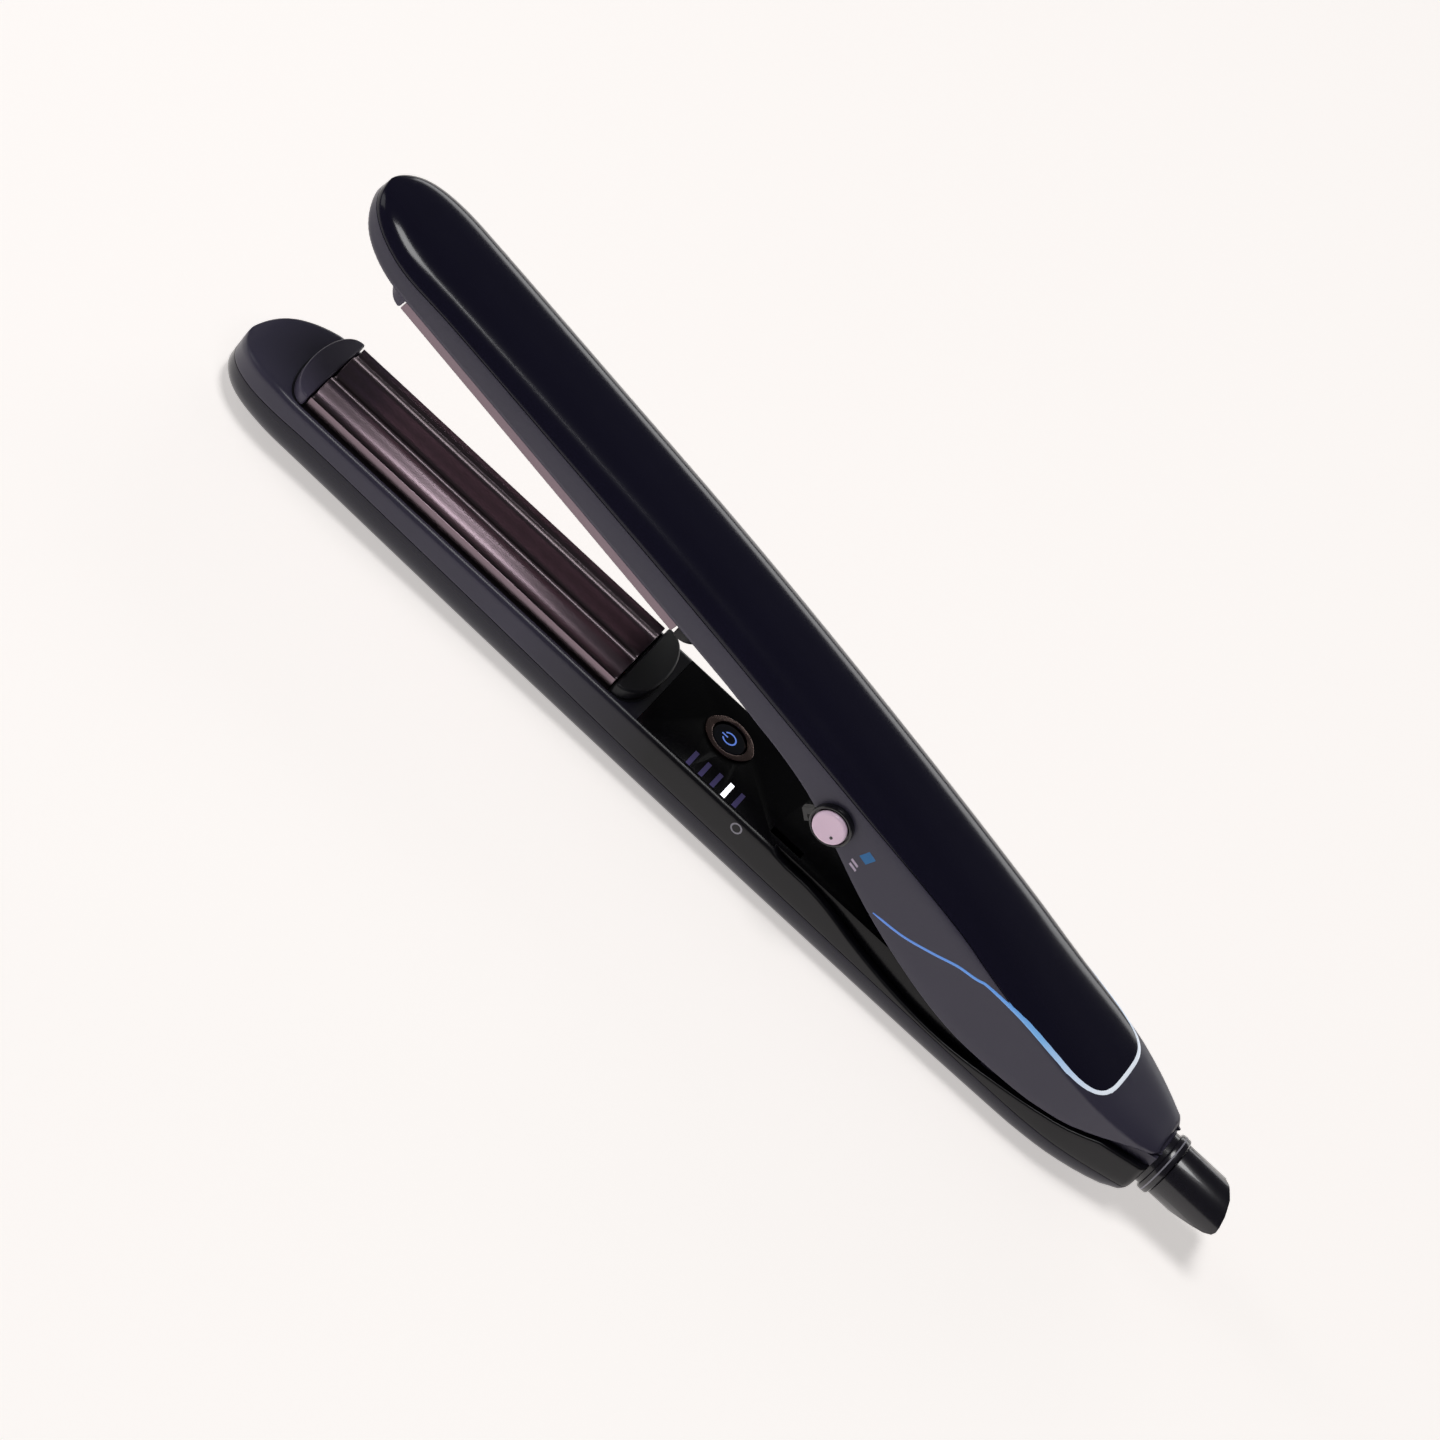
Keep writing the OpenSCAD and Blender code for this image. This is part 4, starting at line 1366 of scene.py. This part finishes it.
@dataclass(frozen=True)
class Studio:
    """Camera, floor and light."""

    target: Vector
    azimuth: float = -0.5315
    elevation: float = 40.0443
    roll: float = 43.1731
    distance: float = 1.5
    lens: float = 165.4
    shift: Pair = (-0.0383, 0.0108)
    floor_glow: float = 0.55
    floor_drop: float = 0.3
    surround: float = 0.06

    def camera(self) -> None:
        """Set the camera."""
        a, e, roll = (math.radians(v) for v in (self.azimuth, self.elevation, self.roll))
        back = Vector((math.sin(a) * math.cos(e), -math.cos(a) * math.cos(e), math.sin(e)))
        right = Vector((math.cos(a), math.sin(a), 0))
        up = back.cross(right)
        across = right * math.cos(roll) + up * math.sin(roll)
        above = up * math.cos(roll) - right * math.sin(roll)
        data = bpy.data.cameras.new("camera")
        data.lens, data.sensor_width = self.lens, 36.0
        data.shift_x, data.shift_y = self.shift
        data.clip_start, data.clip_end = 0.05, 20.0
        camera = bpy.data.objects.new("camera", data)
        turn = Matrix((across, above, back)).transposed().to_4x4()
        camera.matrix_world = Matrix.Translation(self.target + back * self.distance) @ turn
        bpy.context.scene.collection.objects.link(camera)
        bpy.context.scene.camera = camera

    def floor(self) -> None:
        """Lay the pale floor."""
        shape = bmesh.new()
        bmesh.ops.create_grid(shape, x_segments=1, y_segments=1, size=3.0)
        bmesh.ops.translate(shape, verts=shape.verts, vec=(0, 0, -self.floor_drop * MM))
        mesh = bpy.data.meshes.new("floor")
        shape.to_mesh(mesh)
        shape.free()
        floor = bpy.data.objects.new("floor", mesh)
        bpy.context.scene.collection.objects.link(floor)
        graph = Graph("floor")
        tone = graph.blend(graph.noise(400.0, 1.0), linear(249, 244, 241), linear(251, 247, 244))
        graph.shade(Base_Color=tone, Roughness=0.9, Specular_IOR_Level=0.1, Emission_Color=tone,
                    Emission_Strength=self.floor_glow)
        floor.data.materials.append(graph.material)

    def softbox(self, name: str, place: Colour, size: Pair, power: float,
                aim: Colour = (0, 0, 0.02)) -> None:
        """Add one area light.

        Args:
            name: Its name.
            place: Where it is, in metres.
            size: Its width and height in metres.
            power: Its power in watts.
            aim: What it points at.
        """
        data = bpy.data.lights.new(name, "AREA")
        data.shape, data.size, data.size_y, data.energy = "RECTANGLE", *size, power
        light = bpy.data.objects.new(name, data)
        spot = Vector(place)
        light.location = spot
        light.rotation_mode = "QUATERNION"
        light.rotation_quaternion = (Vector(aim) - spot).to_track_quat("-Z", "Y")
        bpy.context.scene.collection.objects.link(light)

    def build(self) -> None:
        """Make the whole studio."""
        bpy.context.scene.view_settings.view_transform = "Standard"
        self.camera()
        self.floor()
        self.softbox("back", (0.3, 2.4, 0.55), (2.4, 0.5), 9.0)
        self.softbox("left", (-2.2, 0.2, 1.0), (0.8, 1.2), 4.0)
        self.softbox("top", (-0.3, -0.3, 2.6), (1.0, 0.8), 26.0)
        world = bpy.data.worlds.new("world")
        world.use_nodes = True
        inputs = world.node_tree.nodes["Background"].inputs
        inputs["Color"].default_value = (0.97, 0.98, 1.0, 1.0)
        inputs["Strength"].default_value = self.surround
        bpy.context.scene.world = world


def lower_form(placing: Placing) -> ArmForm:
    """The lower arm's form.

    Args:
        placing: Where the arms are.

    Returns:
        The form.
    """
    return ArmForm(
        Arm.LOWER, placing, tip=-21.55, end=258.5, power=3.6, edge=1.6,
        face=Curve(((-22, 8.4), (-17.5, 6), (-12, 4.6), (-6, 3.6), (-5, 3.6), (259, 3.6),
                    (260, 3.6))),
        crown=Curve(((-22, 11.4), (-17.5, 9), (-12, 7.6), (-6, 6.6), (-5, 6.6), (259, 6.6),
                     (260, 6.6))),
        outer=Curve(((-22, 17.4), (-16, 19), (-8, 19.4), (10, 19.8), (45, 20.6), (80, 21.2),
                     (130, 21.6), (195, 21.4), (218, 20.9), (235, 20.2), (247, 19), (254, 17.4),
                     (258.5, 14.6))),
        seam=Curve(((-22, 12.6), (-14, 10.7), (-4, 9.3), (8, 8.9), (35, 9.5), (65, 10.3),
                    (110, 11.7), (150, 12.3), (205, 12.6), (235, 12.2), (262, 11.4))),
        tail=Curve(((228, 15.4), (238, 14.6), (246, 13), (252, 11.4), (258.5, 9.6))),
        rest=20.99,
    )


def upper_form(placing: Placing) -> ArmForm:
    """The upper arm's form.

    Args:
        placing: Where the arms are.

    Returns:
        The form.
    """
    return ArmForm(
        Arm.UPPER, placing, tip=-22.95, end=257.5, power=3.0, edge=1.6,
        face=Curve(((-23, 7.2), (-18, 5), (-12, 4), (-6, 3.6), (-5, 3.6), (121, 3.6), (122, 3.6),
                    (130, 3.4), (140, 2.3), (148, 0.5), (157, -2.4), (165, -5), (174, -7.4),
                    (186, -9.6), (198, -10.9), (208, -10.7), (219, -8.8), (230, -6), (239, -2.8),
                    (246, 0.9), (252, 4.1), (257.5, 5.5))),
        crown=Curve(((-23, 8.6), (-12, 6.8), (0, 6), (235, 6), (257.5, 5.2))),
        outer=Curve(((-23, 11.45), (-17, 13.24), (-8, 14.05), (10, 14.9), (45, 16), (85, 17.1),
                     (120, 16.9), (160, 15.5), (195, 13.1), (215, 10.7), (235, 8.8), (248, 7.8),
                     (254, 7.3), (257.5, 6.7))),
        seam=Curve(((-23, 9.6), (-14, 9.2), (-4, 9), (10, 9.7), (50, 10.3), (90, 10.7),
                    (150, 10.3), (175, 10.2), (190, 9.7), (200, 8.7), (210, 8.1), (222, 8.3),
                    (245, 8.9))),
        tail=Curve(((228, 15.4), (238, 14.4), (246, 12.5), (252, 10.3), (255.5, 8.5),
                    (257.5, 6.6))),
    )


# The lower housing's edge behind the panel, and the trim's path, as UpperShells.path gives it.
LEDGE = Curve(((145, -4), (146.2, 2.6), (148.5, 4.6), (158, 4.9), (165, 5.9), (174, 8.2),
               (186, 10.4), (198, 11.6), (208, 11.4), (219, 9.8), (229, 7.9), (238, 6.1),
               (246, 3.7), (252, 1.4), (260, -0.6)))
TRIM = ((173, -11.6), (181, -9.4), (188, -6), (194, -2.6), (200, -0.2), (206, 5.2),
        (214.5, 15.5), (224, 22), (231, 27), (235.2, 38), (237.8, 54), (239, 72), (239.3, 90))


def dress_kept() -> None:
    """Give every CAD node that stays its own finish."""
    for node, finish in KEPT.items():
        piece = frame["nodes"][node]
        piece.data.materials.clear()
        piece.data.materials.append(finish.material())
        LOG.info("kept %s with %s", node, finish.name)


def main() -> None:
    """Build the whole scene."""
    logging.basicConfig(level=logging.INFO, format="%(name)s: %(message)s")
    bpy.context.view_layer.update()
    placing = read_placing()
    lower, upper = lower_form(placing), upper_form(placing)
    dress_kept()
    for assembly in (LowerShells(lower, LEDGE), UpperShells(upper, TRIM), HotPlates(placing),
                     ControlDeck(placing), LockKnob(placing), Tail(placing)):
        made = assembly.build()
        LOG.info("%s: %d pieces", type(assembly).__name__, len(made))
    Studio(Vector((0.225, -0.095, 30.9)) * MM).build()


if __name__ == "__main__":
    main()
